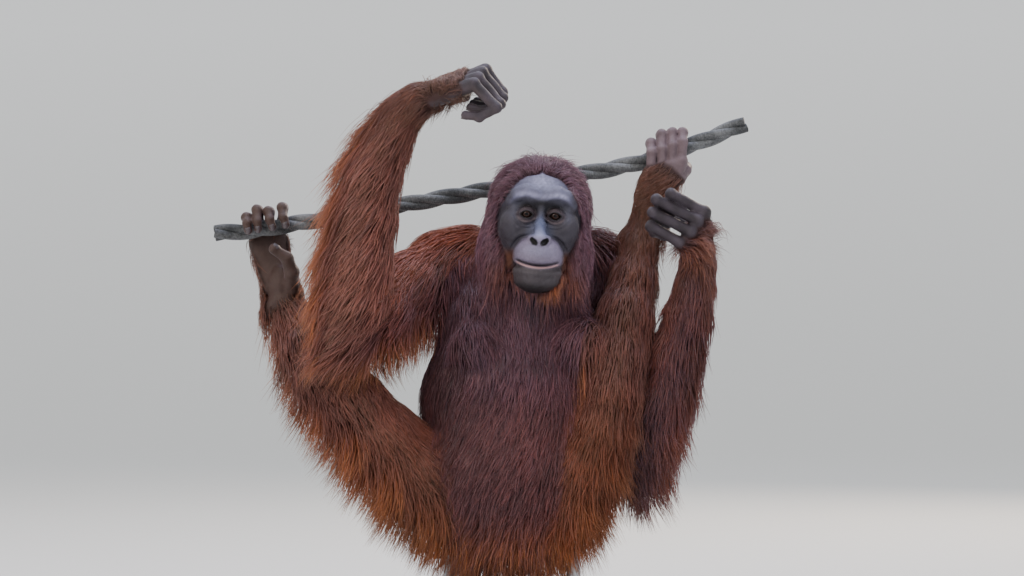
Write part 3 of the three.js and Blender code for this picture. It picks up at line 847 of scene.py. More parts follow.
def face_tint(local):
    """The markings of the bare face, laid over each other from the cheeks to the lips, with painted
    highlights and painted shade among them.
    """
    u, f, v = local.T
    colour = np.tile(tone(SKIN["slate"]), (len(u), 1))

    def lay(name, amount):
        nonlocal colour
        colour = colour + np.clip(amount, 0, 1)[:, None] * (tone(SKIN[name]) - colour)

    edge = 21 + 5 * bell(np.abs(u) - 26, 14) - 14 * ramp(np.abs(u), 40, 58)
    lay("cheek", ramp(np.abs(u - 1), 14, 30) * ramp(-v, 0, 16) * 0.95)
    lay("cheek", ramp(np.abs(u), 44, 56) * 0.9)
    # The forehead over the brows, paler: the skin's own grey with a painted highlight
    ridge = ramp(v - edge, 1, 8) * (0.6 + 0.4 * bell(v - edge - 9, 7))
    lay("brow", ridge * (1 - 0.8 * ramp(np.abs(u), 42, 56)))
    speck = 0.5 + 0.5 * smooth_noise(local, 3.2, 41)
    # Painted highlights along the brow ridges and on the top of the forehead
    lay("shine", bell(v - edge - 8, 4.5) * (1 - ramp(np.abs(u), 36, 50)) * (0.35 + 0.4 * speck))
    lay("shine", bell(u, 24) * bell(v - 58, 12) * (0.3 + 0.4 * speck))
    # Painted shade between the brows
    lay("socket", bell(u, 15) * bell(v - 19, 6) * 0.85)
    # Painted highlight down the ridge of the nose, widening to its tip
    lay("nose_highlight", bell(u, 8 + 0.2 * np.clip(-v, 0, 50)) * ramp(-v, -9, 14))
    half = np.interp(-v, (32, 42, 58, 74, 90), (16, 30, 40, 42, 40))
    lay("muzzle", ramp(half - np.abs(u), -3, 5) * ramp(-v, 30, 42) * ramp(f, -18, 0))
    # Painted highlights on the dome of the upper lip and at the tip of the nose
    lay("shine", bell(u + 2, 26) * bell(v + 60, 9) * 0.35 + bell(u, 9) * bell(v + 34, 9) * 0.5)
    for side in (-1, 1):
        centre = u - side * EYE_SIDE
        # Painted shade in each eye socket, under the brow and beside the nose
        lay("socket", bell(centre, 18) * bell(v - 13, 9))
        lay("socket", bell(centre + side * 13, 7) * bell(v - 6, 14) * 0.85)
        ring = almond(centre, v, *EYE_OPENING)
        lay("lid", bell(ring - 4.5, 4) * 0.8)
        lay("bag", bell(ring - 4.0, 1.2) * ramp(v, 0, 5) * 0.4)
        lay("bag", bell(ring - 6.0, 2.4) * ramp(-v, 2, 8) * 0.7)
        lay("line", 1 - ramp(ring, 1.2, 2.6))
    line = v - mouth_height(u)
    on_mouth = ramp(39 - np.abs(u), 0, 8) * ramp(f, -16, -4)
    lay("chin", ramp(-line, 2, 8) * ramp(f, -40, -20))
    # Painted shade under the chin
    lay("socket", ramp(-v, 104, 124) * ramp(f, -40, -20) * 0.6)
    lay("whiskers", ramp(np.abs(u - 1), 38, 46) * ramp(-v, 54, 74) * 0.8)
    # Painted shadow under the upper lip, along the line of the mouth
    lay("line", bell(line - 1.0, 2.2) * on_mouth * 0.9)
    lay("lip", bell(line + 3.2, 1.5) * on_mouth)
    # Painted shade inside the nostrils
    for nostril in NOSTRILS:
        lay("nostril_shade", 1 - ramp(nearest_on(nostril, local)[0], 0.3, 1.8))
    return colour


def skin_tint(points, normals):
    """Colours of the skin: face, hands and feet bare, and the coat's own root colour elsewhere, with painted
    shade in the armpits, creases and under the chin.
    """
    shares, _, zone, place = survey(points)
    bareness = palm_bareness(shares, zone, place, normals)
    colour = 0.7 * hair_tone(shares, 0) + 0.3 * hair_tone(shares, 1)
    for grip, facing in PALM_FACING.items():
        inner = ramp(normals @ np.array(facing), -0.1, 0.6)
        outer = tone(SKIN["toe" if "foot" in grip else "hand"])
        under = tone(SKIN["sole" if "foot" in grip else "palm"])
        skin = outer + inner[:, None] * (under - outer)
        # On the hands, paler patches spread by noise in the knuckle colour: a painted highlight of the lit
        # knuckles and ridges
        pale_patches = np.clip(0.5 + 0.5 * smooth_noise(points, 16, 31), 0, 1)[:, None]
        skin = skin + 0.35 * pale_patches * (tone(SKIN["knuckle"]) - skin) * ("hand" in grip)
        amount = bareness[grip][:, None]
        colour = colour + amount * (skin - colour)
    local = to_head(points)
    bare = (ramp(face_depth(local), -9, 1) * ramp(local[:, 1], -70, -56))[:, None]
    near = np.linalg.norm(local - (0, -30, -30), axis=1) < 125
    colour = np.where(near[:, None], colour + bare * (face_tint(local) - colour), colour)
    mottled = 1 + 0.10 * smooth_noise(points, 26, 5) + 0.06 * smooth_noise(points, 8, 6)
    return colour * (mottled * painted_shade_level(points))[:, None]


def store_tint(mesh, colours):
    layer = mesh.color_attributes.new("tint", "FLOAT_COLOR", "POINT")
    rows = np.column_stack([colours, np.ones(len(colours))]).astype(np.float32)
    layer.data.foreach_set("color", rows.ravel())


def mesh_arrays(mesh):
    points = np.empty(len(mesh.vertices) * 3, np.float32)
    mesh.vertices.foreach_get("co", points)
    mesh.calc_loop_triangles()
    triangles = np.empty(len(mesh.loop_triangles) * 3, np.int32)
    mesh.loop_triangles.foreach_get("vertices", triangles)
    return points.reshape(-1, 3).astype(float) / MM, triangles.reshape(-1, 3)


def vertex_normals(mesh):
    normals = np.empty(len(mesh.vertices) * 3, np.float32)
    mesh.vertex_normals.foreach_get("vector", normals)
    return normals.reshape(-1, 3).astype(float)


# Materials

def new_material(name):
    """An empty node tree with its output and a principled shader."""
    made = bpy.data.materials.new(name)
    made.use_nodes = True
    tree = made.node_tree
    tree.nodes.clear()
    shader = add(tree, "ShaderNodeBsdfPrincipled")
    add(tree, "ShaderNodeOutputMaterial", {"Surface": shader.outputs[0]})
    return made, tree, shader


def coat_material(name, roughness, sheen_tint):
    """Keratin hair, naturally grown: a soft shine along each lock and a paler bloom at a grazing view."""
    made, tree, shader = new_material(name)
    tint = add(tree, "ShaderNodeAttribute", attribute_name="tint")
    where = add(tree, "ShaderNodeTexCoord")
    # Streaks of about 2.4 mm stand for single hairs, which are too fine to show
    strand = add(tree, "ShaderNodeTexNoise",
                 {"Vector": where.outputs["Object"], "Scale": 420.0, "Detail": 2.0})
    level = add(tree, "ShaderNodeMapRange", {"Value": strand.outputs["Fac"], "To Min": 0.72, "To Max": 1.28})
    colour = add(tree, "ShaderNodeVectorMath",
                 {0: tint.outputs["Color"], "Scale": level.outputs["Result"]}, operation="SCALE")
    fill(tree, shader, {
        "Base Color": colour.outputs["Vector"], "Roughness": roughness, "IOR": 1.55,
        "Specular IOR Level": 0.4, "Sheen Weight": 0.25, "Sheen Roughness": 0.4,
        "Sheen Tint": linear(sheen_tint),
    })
    return made


def skin_material():
    """Bare ape skin, thick and creased: dull in the folds, with an oily shine on the high parts."""
    made, tree, shader = new_material("creased_bare_skin")
    tint = add(tree, "ShaderNodeAttribute", attribute_name="tint")
    where = add(tree, "ShaderNodeTexCoord").outputs["Object"]
    mottle = add(tree, "ShaderNodeTexNoise",
                 {"Vector": where, "Scale": 260.0, "Detail": 4.0, "Roughness": 0.65})
    level = add(tree, "ShaderNodeMapRange", {"Value": mottle.outputs["Fac"], "To Min": 0.7, "To Max": 1.3})
    colour = add(tree, "ShaderNodeVectorMath",
                 {0: tint.outputs["Color"], "Scale": level.outputs["Result"]}, operation="SCALE")
    # The skin's small plates are about 1.6 mm across
    plates = add(tree, "ShaderNodeTexVoronoi", {"Vector": where, "Scale": 620.0}, feature="DISTANCE_TO_EDGE")
    edge = add(tree, "ShaderNodeMapRange", {"Value": plates.outputs["Distance"], "From Max": 0.25})
    folds = add(tree, "ShaderNodeTexNoise",
                {"Vector": where, "Scale": 190.0, "Detail": 5.0, "Roughness": 0.6})
    height = add(tree, "ShaderNodeMath",
                 {0: edge.outputs["Result"], 1: folds.outputs["Fac"]}, operation="ADD")
    bump = add(tree, "ShaderNodeBump", {"Height": height.outputs[0], "Strength": 0.5, "Distance": 0.0006})
    gloss = add(tree, "ShaderNodeMapRange", {"Value": mottle.outputs["Fac"], "To Min": 0.36, "To Max": 0.56})
    fill(tree, shader, {
        "Base Color": colour.outputs["Vector"], "Normal": bump.outputs["Normal"],
        "Roughness": gloss.outputs["Result"], "IOR": 1.42, "Specular IOR Level": 0.38,
    })
    return made


def eye_material():
    """A wet eyeball with a dark sclera: a sharp small highlight over a deep brown iris."""
    made, tree, shader = new_material("wet_dark_eye")
    ring = add(tree, "ShaderNodeAttribute", attribute_name="ring")
    where = add(tree, "ShaderNodeTexCoord").outputs["Object"]
    fibres = add(tree, "ShaderNodeTexNoise", {"Vector": where, "Scale": 1500.0, "Detail": 2.0})
    shift = add(tree, "ShaderNodeMapRange", {"Value": fibres.outputs["Fac"], "To Min": -1.6, "To Max": 1.6})
    angle = add(tree, "ShaderNodeMath", {0: ring.outputs["Fac"], 1: shift.outputs["Result"]}, operation="ADD")
    scaled = add(tree, "ShaderNodeMath", {0: angle.outputs[0], 1: 60.0}, operation="DIVIDE")
    colours = add(tree, "ShaderNodeValToRGB", {"Fac": scaled.outputs[0]})
    stops = ((0.0, "#050303"), (0.20, "#060303"), (0.25, "#2e160d"), (0.45, "#1a0d08"), (0.52, "#080505"),
             (0.62, "#1a1210"), (1.0, "#33251f"))
    band = colours.color_ramp.elements
    for position, code in stops[2:]:
        band.new(position)
    for element, (position, code) in zip(band, stops):
        element.position = position
        element.color = linear(code)
    fill(tree, shader, {
        "Base Color": colours.outputs["Color"], "Roughness": 0.12, "IOR": 1.376,
        "Specular IOR Level": 0.25, "Coat Weight": 0.12, "Coat Roughness": 0.03,
    })
    return made


def nail_material():
    """Keratin nail, grown in thin layers: dark, with a satin shine and faint lengthwise ridges."""
    made, tree, shader = new_material("ridged_nail")
    where = add(tree, "ShaderNodeTexCoord").outputs["Object"]
    ridges = add(tree, "ShaderNodeTexNoise", {"Vector": where, "Scale": 900.0, "Detail": 3.0})
    colour = add(tree, "ShaderNodeMix",
                 {"Factor": ridges.outputs["Fac"], "A": linear("#2c2528"), "B": linear("#564c51")},
                 data_type="RGBA")
    bump = add(tree, "ShaderNodeBump", {"Height": ridges.outputs["Fac"], "Strength": 0.3, "Distance": 0.0003})
    fill(tree, shader, {
        "Base Color": colour.outputs["Result"], "Normal": bump.outputs["Normal"], "Roughness": 0.32,
        "IOR": 1.54,
    })
    return made


def rope_material():
    """Laid polypropylene rope: dark grey yarns with paler patches spread by noise and fine cross threads."""
    made, tree, shader = new_material("grey_laid_rope")
    along = add(tree, "ShaderNodeAttribute", attribute_name="along")
    around = add(tree, "ShaderNodeAttribute", attribute_name="around")
    where = add(tree, "ShaderNodeTexCoord").outputs["Object"]
    # Yarns 1.8 mm apart cross each strand on a slant
    slant = add(tree, "ShaderNodeMath", {0: around.outputs["Fac"], 1: 3.0}, operation="MULTIPLY")
    pitch = add(tree, "ShaderNodeMath", {0: along.outputs["Fac"], 1: 290.0}, operation="MULTIPLY")
    turns = add(tree, "ShaderNodeMath", {0: slant.outputs[0], 1: pitch.outputs[0]}, operation="ADD")
    phase = add(tree, "ShaderNodeMath", {0: turns.outputs[0], 1: 2 * math.pi}, operation="MULTIPLY")
    yarn = add(tree, "ShaderNodeMath", {0: phase.outputs[0]}, operation="SINE")
    fuzz = add(tree, "ShaderNodeTexNoise", {"Vector": where, "Scale": 320.0, "Detail": 5.0, "Roughness": 0.7})
    patch = add(tree, "ShaderNodeTexNoise", {"Vector": where, "Scale": 24.0, "Detail": 3.0})
    blend = add(tree, "ShaderNodeMath",
                {0: fuzz.outputs["Fac"], 1: patch.outputs["Fac"]}, operation="MULTIPLY")
    # Paler patches spread by noise
    pale_patches = add(tree, "ShaderNodeMapRange", {"Value": blend.outputs[0], "From Min": 0.15, "From Max": 0.42})
    colour = add(tree, "ShaderNodeMix",
                 {"Factor": pale_patches.outputs["Result"], "A": linear("#26282a"), "B": linear("#77797b")},
                 data_type="RGBA")
    height = add(tree, "ShaderNodeMath",
                 {0: yarn.outputs[0], 1: 0.35, 2: fuzz.outputs["Fac"]}, operation="MULTIPLY_ADD")
    bump = add(tree, "ShaderNodeBump", {"Height": height.outputs[0], "Strength": 0.8, "Distance": 0.0009})
    fill(tree, shader, {
        "Base Color": colour.outputs["Result"], "Normal": bump.outputs["Normal"], "Roughness": 0.62,
        "IOR": 1.49,
    })
    return made


def powder_coat_material():
    """Powder-coated steel plate, oven cured: an even matt black with a fine orange-peel texture."""
    made, tree, shader = new_material("powder_coated_plate")
    where = add(tree, "ShaderNodeTexCoord").outputs["Object"]
    grain = add(tree, "ShaderNodeTexNoise", {"Vector": where, "Scale": 800.0, "Detail": 3.0})
    dust = add(tree, "ShaderNodeTexNoise", {"Vector": where, "Scale": 9.0, "Detail": 4.0})
    colour = add(tree, "ShaderNodeMix",
                 {"Factor": dust.outputs["Fac"], "A": linear("#1d1f21"), "B": linear("#303336")},
                 data_type="RGBA")
    rough = add(tree, "ShaderNodeMapRange", {"Value": dust.outputs["Fac"], "To Min": 0.45, "To Max": 0.65})
    bump = add(tree, "ShaderNodeBump", {"Height": grain.outputs["Fac"], "Strength": 0.35, "Distance": 0.0003})
    fill(tree, shader, {
        "Base Color": colour.outputs["Result"], "Roughness": rough.outputs["Result"],
        "Normal": bump.outputs["Normal"],
    })
    return made


def brushed_steel_material():
    """Stainless rod, brushed along its length: long fine scratches that stretch the highlight."""
    made, tree, shader = new_material("brushed_steel_rod")
    where = add(tree, "ShaderNodeTexCoord").outputs["Object"]
    turned = add(tree, "ShaderNodeMapping", {"Vector": where, "Scale": (1400.0, 1400.0, 18.0)})
    scratches = add(tree, "ShaderNodeTexNoise", {"Vector": turned.outputs[0], "Scale": 1.0, "Detail": 2.0})
    rough = add(tree, "ShaderNodeMapRange",
                {"Value": scratches.outputs["Fac"], "To Min": 0.24, "To Max": 0.42})
    colour = add(tree, "ShaderNodeMix",
                 {"Factor": scratches.outputs["Fac"], "A": linear("#9a9c9e"), "B": linear("#c2c4c6")},
                 data_type="RGBA")
    fill(tree, shader, {
        "Base Color": colour.outputs["Result"], "Roughness": rough.outputs["Result"], "Metallic": 1.0,
    })
    return made


# The skin

def make_skin():
    """Joins the body with the fine face, ears, hands and feet into one closed surface."""
    whole = new_object("skin", build_mesh("skin", *BODY.surface()))
    fine = [(from_head(v), q) for v, q in (f.surface() for f in (FACE, *EARS))]
    fine += [grip.surface() for grip in GRIPS.values()]
    helpers = []
    for vertices, quads in fine:
        helper = new_object("helper", build_mesh("helper", vertices, quads))
        helpers.append(helper)
        joint = whole.modifiers.new("join", "BOOLEAN")
        joint.operation = "UNION"
        joint.solver = "MANIFOLD"
        joint.object = helper
    joined = applied(whole)
    whole.modifiers.clear()
    coarse = whole.data
    whole.data = joined
    bpy.data.meshes.remove(coarse)
    for helper in helpers:
        used = helper.data
        bpy.data.objects.remove(helper)
        bpy.data.meshes.remove(used)
    joined.calc_loop_triangles()
    thin = whole.modifiers.new("thin", "DECIMATE")
    thin.ratio = min(1.0, SKIN_TRIANGLES / len(joined.loop_triangles))
    mesh = applied(whole)
    whole.modifiers.clear()
    whole.data = mesh
    bpy.data.meshes.remove(joined)
    mesh.polygons.foreach_set("use_smooth", np.ones(len(mesh.polygons), bool))
    points, triangles = mesh_arrays(mesh)
    store_tint(mesh, skin_tint(points, vertex_normals(mesh)))
    mesh.materials.clear()
    mesh.materials.append(skin_material())
    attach(whole, "root")
    flesh = [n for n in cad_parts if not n.startswith(("stand_", "perch_", "eye_"))]
    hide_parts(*flesh)
    return points, triangles


# The coat

LONGEST_LOCK = 118
LOCKS_IN_TUFT = 9
TUFT_PULL = 0.5
ROOT_DEPTH = 2.0
BAKE_PATCH = 0.003

# The zones of each coat piece, the steps along its locks and their number
COAT_PIECES = {
    "coat_head": (("head", "jaw"), 3, 11000),
    "coat_neck_and_chest": (("neck", "chest", "chest_right"), 3, 9600),
    "coat_belly": (("belly",), 3, 7600),
    "coat_back": (("back",), 4, 5200),
    "coat_upper_arm_right": (("upper_arm_right",), 4, 5200),
    "coat_forearm_right": (("forearm_right", "hand_right"), 3, 10200),
    "coat_upper_arm_left": (("upper_arm_left",), 3, 6400),
    "coat_forearm_left": (("forearm_left", "hand_left"), 3, 7200),
    "coat_thigh_right": (("thigh_right",), 3, 7600),
    "coat_shank_right": (("shank_right", "foot_right"), 3, 7200),
    "coat_thigh_left": (("thigh_left",), 3, 6000),
    "coat_shank_left": (("shank_left", "foot_left"), 3, 6600),
}


def scatter_roots(points, triangles, rng):
    """Roots of each coat piece's locks, spread evenly over the hairy skin."""
    a, b, c = (points[triangles[:, i]] for i in range(3))
    normal = np.cross(b - a, c - a)
    area = np.linalg.norm(normal, axis=1) / 2
    normal = unit(normal)
    centre = (a + b + c) / 3
    shares, _, zone, place = survey(centre)
    density = area * blended(shares, DENSITY)
    for bare in palm_bareness(shares, zone, place, normal).values():
        density *= 1 - bare
    local = to_head(centre)
    density *= 1 - ramp(face_depth(local), -1.5, 1.5)
    order = np.argsort(zone, kind="stable")
    roots = {}
    for name, (zones, _, count) in COAT_PIECES.items():
        mine = np.isin(zone[order], [ZONE_NAMES.index(z) for z in zones])
        picked = order[mine]
        total = np.cumsum(density[picked])
        chosen = picked[np.searchsorted(total, (np.arange(count) + rng.random(count)) / count * total[-1])]
        s, t = rng.random((2, count))
        flip = s + t > 1
        s, t = np.where(flip, 1 - s, s), np.where(flip, 1 - t, t)
        root = a[chosen] + s[:, None] * (b[chosen] - a[chosen]) + t[:, None] * (c[chosen] - a[chosen])
        roots[name] = root
    return roots


def grow(root, normal, flow, length, depth, loose, steps, rng):
    """Paths of locks that leave the skin, lie along it at their own depth and hang free underneath."""
    count = len(root)
    place = root - normal * ROOT_DEPTH
    path = [place]
    wobble = rng.normal(size=(count, 3)) * 0.22
    lift = np.radians(rng.uniform(22, 44, count))[:, None]
    heading = unit(flow * np.cos(lift) + normal * np.sin(lift))
    layer = depth * rng.uniform(0.35, 1.15, count)
    drift = np.clip((root[:, 0] - 10) / 320, -0.7, 0.5) * ramp(600 - root[:, 2], 0, 150)
    hang = unit(DOWN + drift[:, None] * np.array([1.0, 0.0, 0.0]))
    for k in range(1, steps + 1):
        place = place + heading * (length / steps)[:, None]
        gap = skin_at(place)
        out = skin_slope(place)
        wanted = layer * (1 - math.exp(-3.0 * k / steps)) + 0.8
        hold = np.where(gap < wanted, 1.0, 0.55 * ramp(out[:, 2], -0.35, 0.35) * (1 - loose))
        place = place + out * (np.clip(wanted - gap, -9, 30) * hold)[:, None]
        path.append(place)
        fall = (0.18 + 0.5 * loose + 0.22 * k / steps)[:, None]
        turned = flow * (1 - fall) + hang * fall + wobble * (0.5 + k / steps) + normal * 0.42 * loose[:, None]
        kept = np.sum(turned * out, axis=1)
        turned = turned - out * (np.minimum(kept, 0) + np.maximum(kept, 0) * (1 - loose) * 0.7)[:, None]
        heading = unit(0.35 * heading + unit(turned))
    return np.stack(path, axis=1)


def gather(path, root, size, pull, rng):
    """Draws the tips of neighbouring locks together into tufts."""
    guides = rng.choice(len(root), max(len(root) // size, 1), replace=False)
    nearest = np.empty(len(root), int)
    for first in range(0, len(root), 2000):
        block = root[first:first + 2000]
        gaps = ((block[:, None, :] - root[guides][None, :, :]) ** 2).sum(axis=2)
        nearest[first:first + 2000] = gaps.argmin(axis=1)
    leader = path[guides[nearest]]
    t = np.linspace(0, 1, path.shape[1])[None, :, None]
    apart = leader - path
    reach = np.linalg.norm(apart[:, :1], axis=2, keepdims=True)
    amount = pull * t ** 1.4 * np.clip(1.6 - reach / 26, 0, 1)
    amount = amount * rng.uniform(0.35, 1.0, (len(root), 1, 1))
    return path + apart * amount, nearest


def lock_mesh(name, path, normal, width, colours, unwrap):
    """Closed three-sided locks, fullest near the root and drawn out to a point."""
    count, rings = path.shape[0], path.shape[1] - 1
    along = unit(np.gradient(path, axis=1))
    side = unit(np.cross(along, normal[:, None, :]))
    up = np.cross(side, along)
    taper = np.interp(np.arange(rings) / rings, (0, 0.25, 0.5, 0.75, 1), (0.75, 1.0, 0.92, 0.62, 0.15))
    vertices = np.empty((count, rings * 3 + 1, 3))
    for k in range(rings):
        for j in range(3):
            turn = math.radians(90 + 120 * j)
            reach = width[:, None] * taper[k]
            vertices[:, 3 * k + j] = path[:, k] + reach * (
                1.2 * math.cos(turn) * side[:, k] + 0.75 * math.sin(turn) * up[:, k])
    vertices[:, -1] = path[:, -1]
    faces = [(0, 1, 2)]
    for k in range(rings - 1):
        for j in range(3):
            a, b = 3 * k + j, 3 * k + (j + 1) % 3
            faces += [(a, a + 3, b), (b, a + 3, b + 3)]
    last = 3 * (rings - 1)
    faces += [(last + j, 3 * rings, last + (j + 1) % 3) for j in range(3)]
    faces = np.array(faces)
    every = (faces[None] + (np.arange(count) * (3 * rings + 1))[:, None, None]).reshape(-1, 3)
    mesh = build_mesh(name, vertices.reshape(-1, 3), every)
    store_tint(mesh, colours.reshape(-1, 3))
    corner = np.array([(j % 3 / 2 - 0.5, j // 3 / rings - 0.5) for j in range(3 * rings + 1)]) * BAKE_PATCH
    uv = (unwrap[:, None, None, :] + corner[faces][None]).reshape(-1, 2)
    layer = mesh.uv_layers.new(name="OFBake")
    layer.data.foreach_set("uv", np.clip(uv, 0.0, 1.0).astype(np.float32).ravel())
    return mesh


def lock_colours(shares, path, root, normal, tuft, loose, rng):
    """Dark roots, the zone's own red in the middle and paler tips, varied by patch, tuft and lock, with a
    painted glow on the hanging fringes, a painted highlight on the right shoulder and painted shade in the
    hidden places.
    """
    count, rings = path.shape[0], path.shape[1] - 1
    t = np.repeat(np.arange(rings) / rings, 3)
    t = np.append(t, 1.0)[None, :, None]
    low, middle, high = (hair_tone(shares, i)[:, None, :] for i in range(3))
    # Painted glow: loose locks hanging underneath take the paler, more orange fringe colours, as if lit
    # through from behind, less so on the chest, head and dark left arm
    edge = (ramp(loose, 0.35, 1.0) * (1 - shares[COOL_ZONES].sum(axis=0)))[:, None, None]
    dark_arm = shares[DARK_ARM_ZONES].sum(axis=0)
    edge = edge * rng.uniform(0.2, 1.0, (count, 1, 1)) * (1 - 0.7 * dark_arm)[:, None, None]
    low, middle, high = (a + edge * (tone(b) - a) for a, b in zip((low, middle, high), HAIR["fringe"]))
    # Painted highlight: where the right upper arm faces up toward the light, its hair turns paler and more
    # orange
    hump = (shares[ZONE_NAMES.index("upper_arm_right")] * ramp(normal[:, 2], 0.25, 0.85))[:, None, None]
    low, middle, high = (a + 0.8 * hump * (tone(b) - a) for a, b in zip((low, middle, high), HAIR["hump"]))
    # Toward the tips the locks turn to the paler tip colours: partly the hair's own colour, partly painted
    # highlight
    colour = low + ramp(t, -0.1, 0.36) * (middle - low)
    colour = colour + ramp(t, 0.35, 1.0) * (0.6 + 0.4 * edge) * (high - colour)
    patch = 1 + 0.16 * smooth_noise(root, 110, 71) + 0.12 * smooth_noise(root, 34, 72)
    tuft_level = rng.uniform(0.84, 1.18, tuft.max() + 1)[tuft]
    lock_level = rng.uniform(0.84, 1.18, count)
    warm = 1 + np.outer(rng.normal(size=count) * 0.06, (1.0, 0.1, -0.8))
    # Painted shade in the armpits, creases and under the chin darkens the hair too
    level = patch * tuft_level * lock_level * painted_shade_level(root)
    return colour * level[:, None, None] * warm[:, None, :]


# Rows of the shares for zones that are coloured or lengthened together
DARK_ARM_ZONES = [ZONE_NAMES.index(z) for z in ("upper_arm_left", "forearm_left", "hand_left")]
LEG_ZONES = [ZONE_NAMES.index(z) for z in ("thigh_right", "shank_right", "thigh_left")]
COOL_ZONES = [ZONE_NAMES.index(z) for z in ("chest", "chest_right", "neck", "head")]


def make_coat(points, triangles):
    """Twelve pieces of coat, one for each stretch of the body."""
    rng = np.random.default_rng(SEED)
    finishes = {
        "dark_coat": coat_material("long_dark_hair", 0.46, "#cdb6d6"),
        "maroon_coat": coat_material("long_maroon_hair", 0.46, "#d8bcc8"),
        "red_coat": coat_material("long_red_hair", 0.5, "#e8c0a0"),
    }
    slots = {"chest": "dark_coat", "dark_arm": "dark_coat", "head": "maroon_coat", "belly": "maroon_coat"}
    spread = scatter_roots(points, triangles, rng)
    for name, (zones, steps, count) in COAT_PIECES.items():
        root = spread[name]
        out = skin_slope(root)
        shares, flow, zone, place = survey(root)
        flow = unit(flow - out * np.sum(flow * out, axis=1, keepdims=True) * 0.9)
        raised = shares[ZONE_NAMES.index("forearm_right")] + shares[ZONE_NAMES.index("hand_right")]
        loose = ramp(-out[:, 2], 0.0, 0.7) * (1 - 0.8 * raised) + raised * ramp(-out[:, 0], 0.3, 0.9) * 0.9
        crown = shares[ZONE_NAMES.index("head")] * ramp(out[:, 2], 0.3, 0.9)
        loose = np.maximum(loose, crown * rng.random(count) * 0.6)
        wisp = 1 + 0.7 * loose * (rng.random(count) < 0.25)
        fringe = 0.35 + 0.5 * shares[LEG_ZONES].sum(axis=0)
        length = blended(shares, LENGTH) * rng.uniform(0.6, 1.25, count) * (1 + fringe * loose) * wisp
        length = np.minimum(length, LONGEST_LOCK)
        depth = blended(shares, DEPTH)
        local = to_head(root)
        near_face = 1 - ramp(-face_depth(local), -2, 26)
        length *= 1 - 0.55 * near_face * (np.abs(local[:, 2] + 30) < 115)
        path = grow(root, out, flow, length, depth, loose, steps, rng)
        path, tuft = gather(path, root, LOCKS_IN_TUFT, TUFT_PULL, rng)
        colours = lock_colours(shares, path, root, out, tuft, loose, rng)
        width = blended(shares, HALF_WIDTH) * rng.uniform(0.65, 1.05, count) * (1 - 0.3 * loose)
        columns = {ZONE_NAMES.index(z): i for i, z in enumerate(zones)}
        column = np.array([columns.get(z, 0) for z in zone])
        unwrap = np.stack([(column + place[:, 0]) / len(zones), place[:, 1]], axis=-1)
        mesh = lock_mesh(name, path, out, width, colours, unwrap * 0.99 + 0.005)
        slot = slots.get(ZONES[zones[0]][COLOURS], "red_coat")
        add_piece(name, mesh, finishes[slot])


# Eyes and nails

def make_eye(name, side):
    """An eyeball with a raised cornea, turned about the line of sight."""
    centre = np.array((side * EYE_SIDE, EYE_DEPTH, 0.0))
    rows, columns = 30, 40
    angles = np.linspace(0, math.pi, rows + 1)[1:-1]
    vertices = [(0.0, EYE_RADIUS + CORNEA_RISE, 0.0)]
    rings = [0.0]
    for angle in angles:
        reach = EYE_RADIUS + CORNEA_RISE * ramp(math.radians(36) - angle, 0, math.radians(22))
        for turn in np.arange(columns) * 2 * math.pi / columns:
            wide = reach * math.sin(angle)
            vertices.append((wide * math.cos(turn), reach * math.cos(angle), wide * math.sin(turn)))
            rings.append(math.degrees(angle))
    vertices.append((0.0, -EYE_RADIUS, 0.0))
    rings.append(180.0)
    faces = []
    last = len(vertices) - 1
    for j in range(columns):
        k = (j + 1) % columns
        faces.append((0, 1 + j, 1 + k))
        faces.append((last, last - columns + k, last - columns + j))
        for i in range(len(angles) - 1):
            a, b = 1 + i * columns + j, 1 + i * columns + k
            faces += [(a, a + columns, b), (b, a + columns, b + columns)]
    points = from_head(np.array(vertices) + centre)
    faces = np.array(faces)
    middle = from_head(centre)
    a, b, c = (points[faces[:, i]] for i in range(3))
    turned = np.sum(np.cross(b - a, c - a) * (a - middle), axis=1) < 0
    faces[turned] = faces[turned][:, ::-1]
    mesh = build_mesh(name, points, faces)
    mesh.attributes.new("ring", "FLOAT", "POINT").data.foreach_set("value", np.array(rings, np.float32))
    return mesh


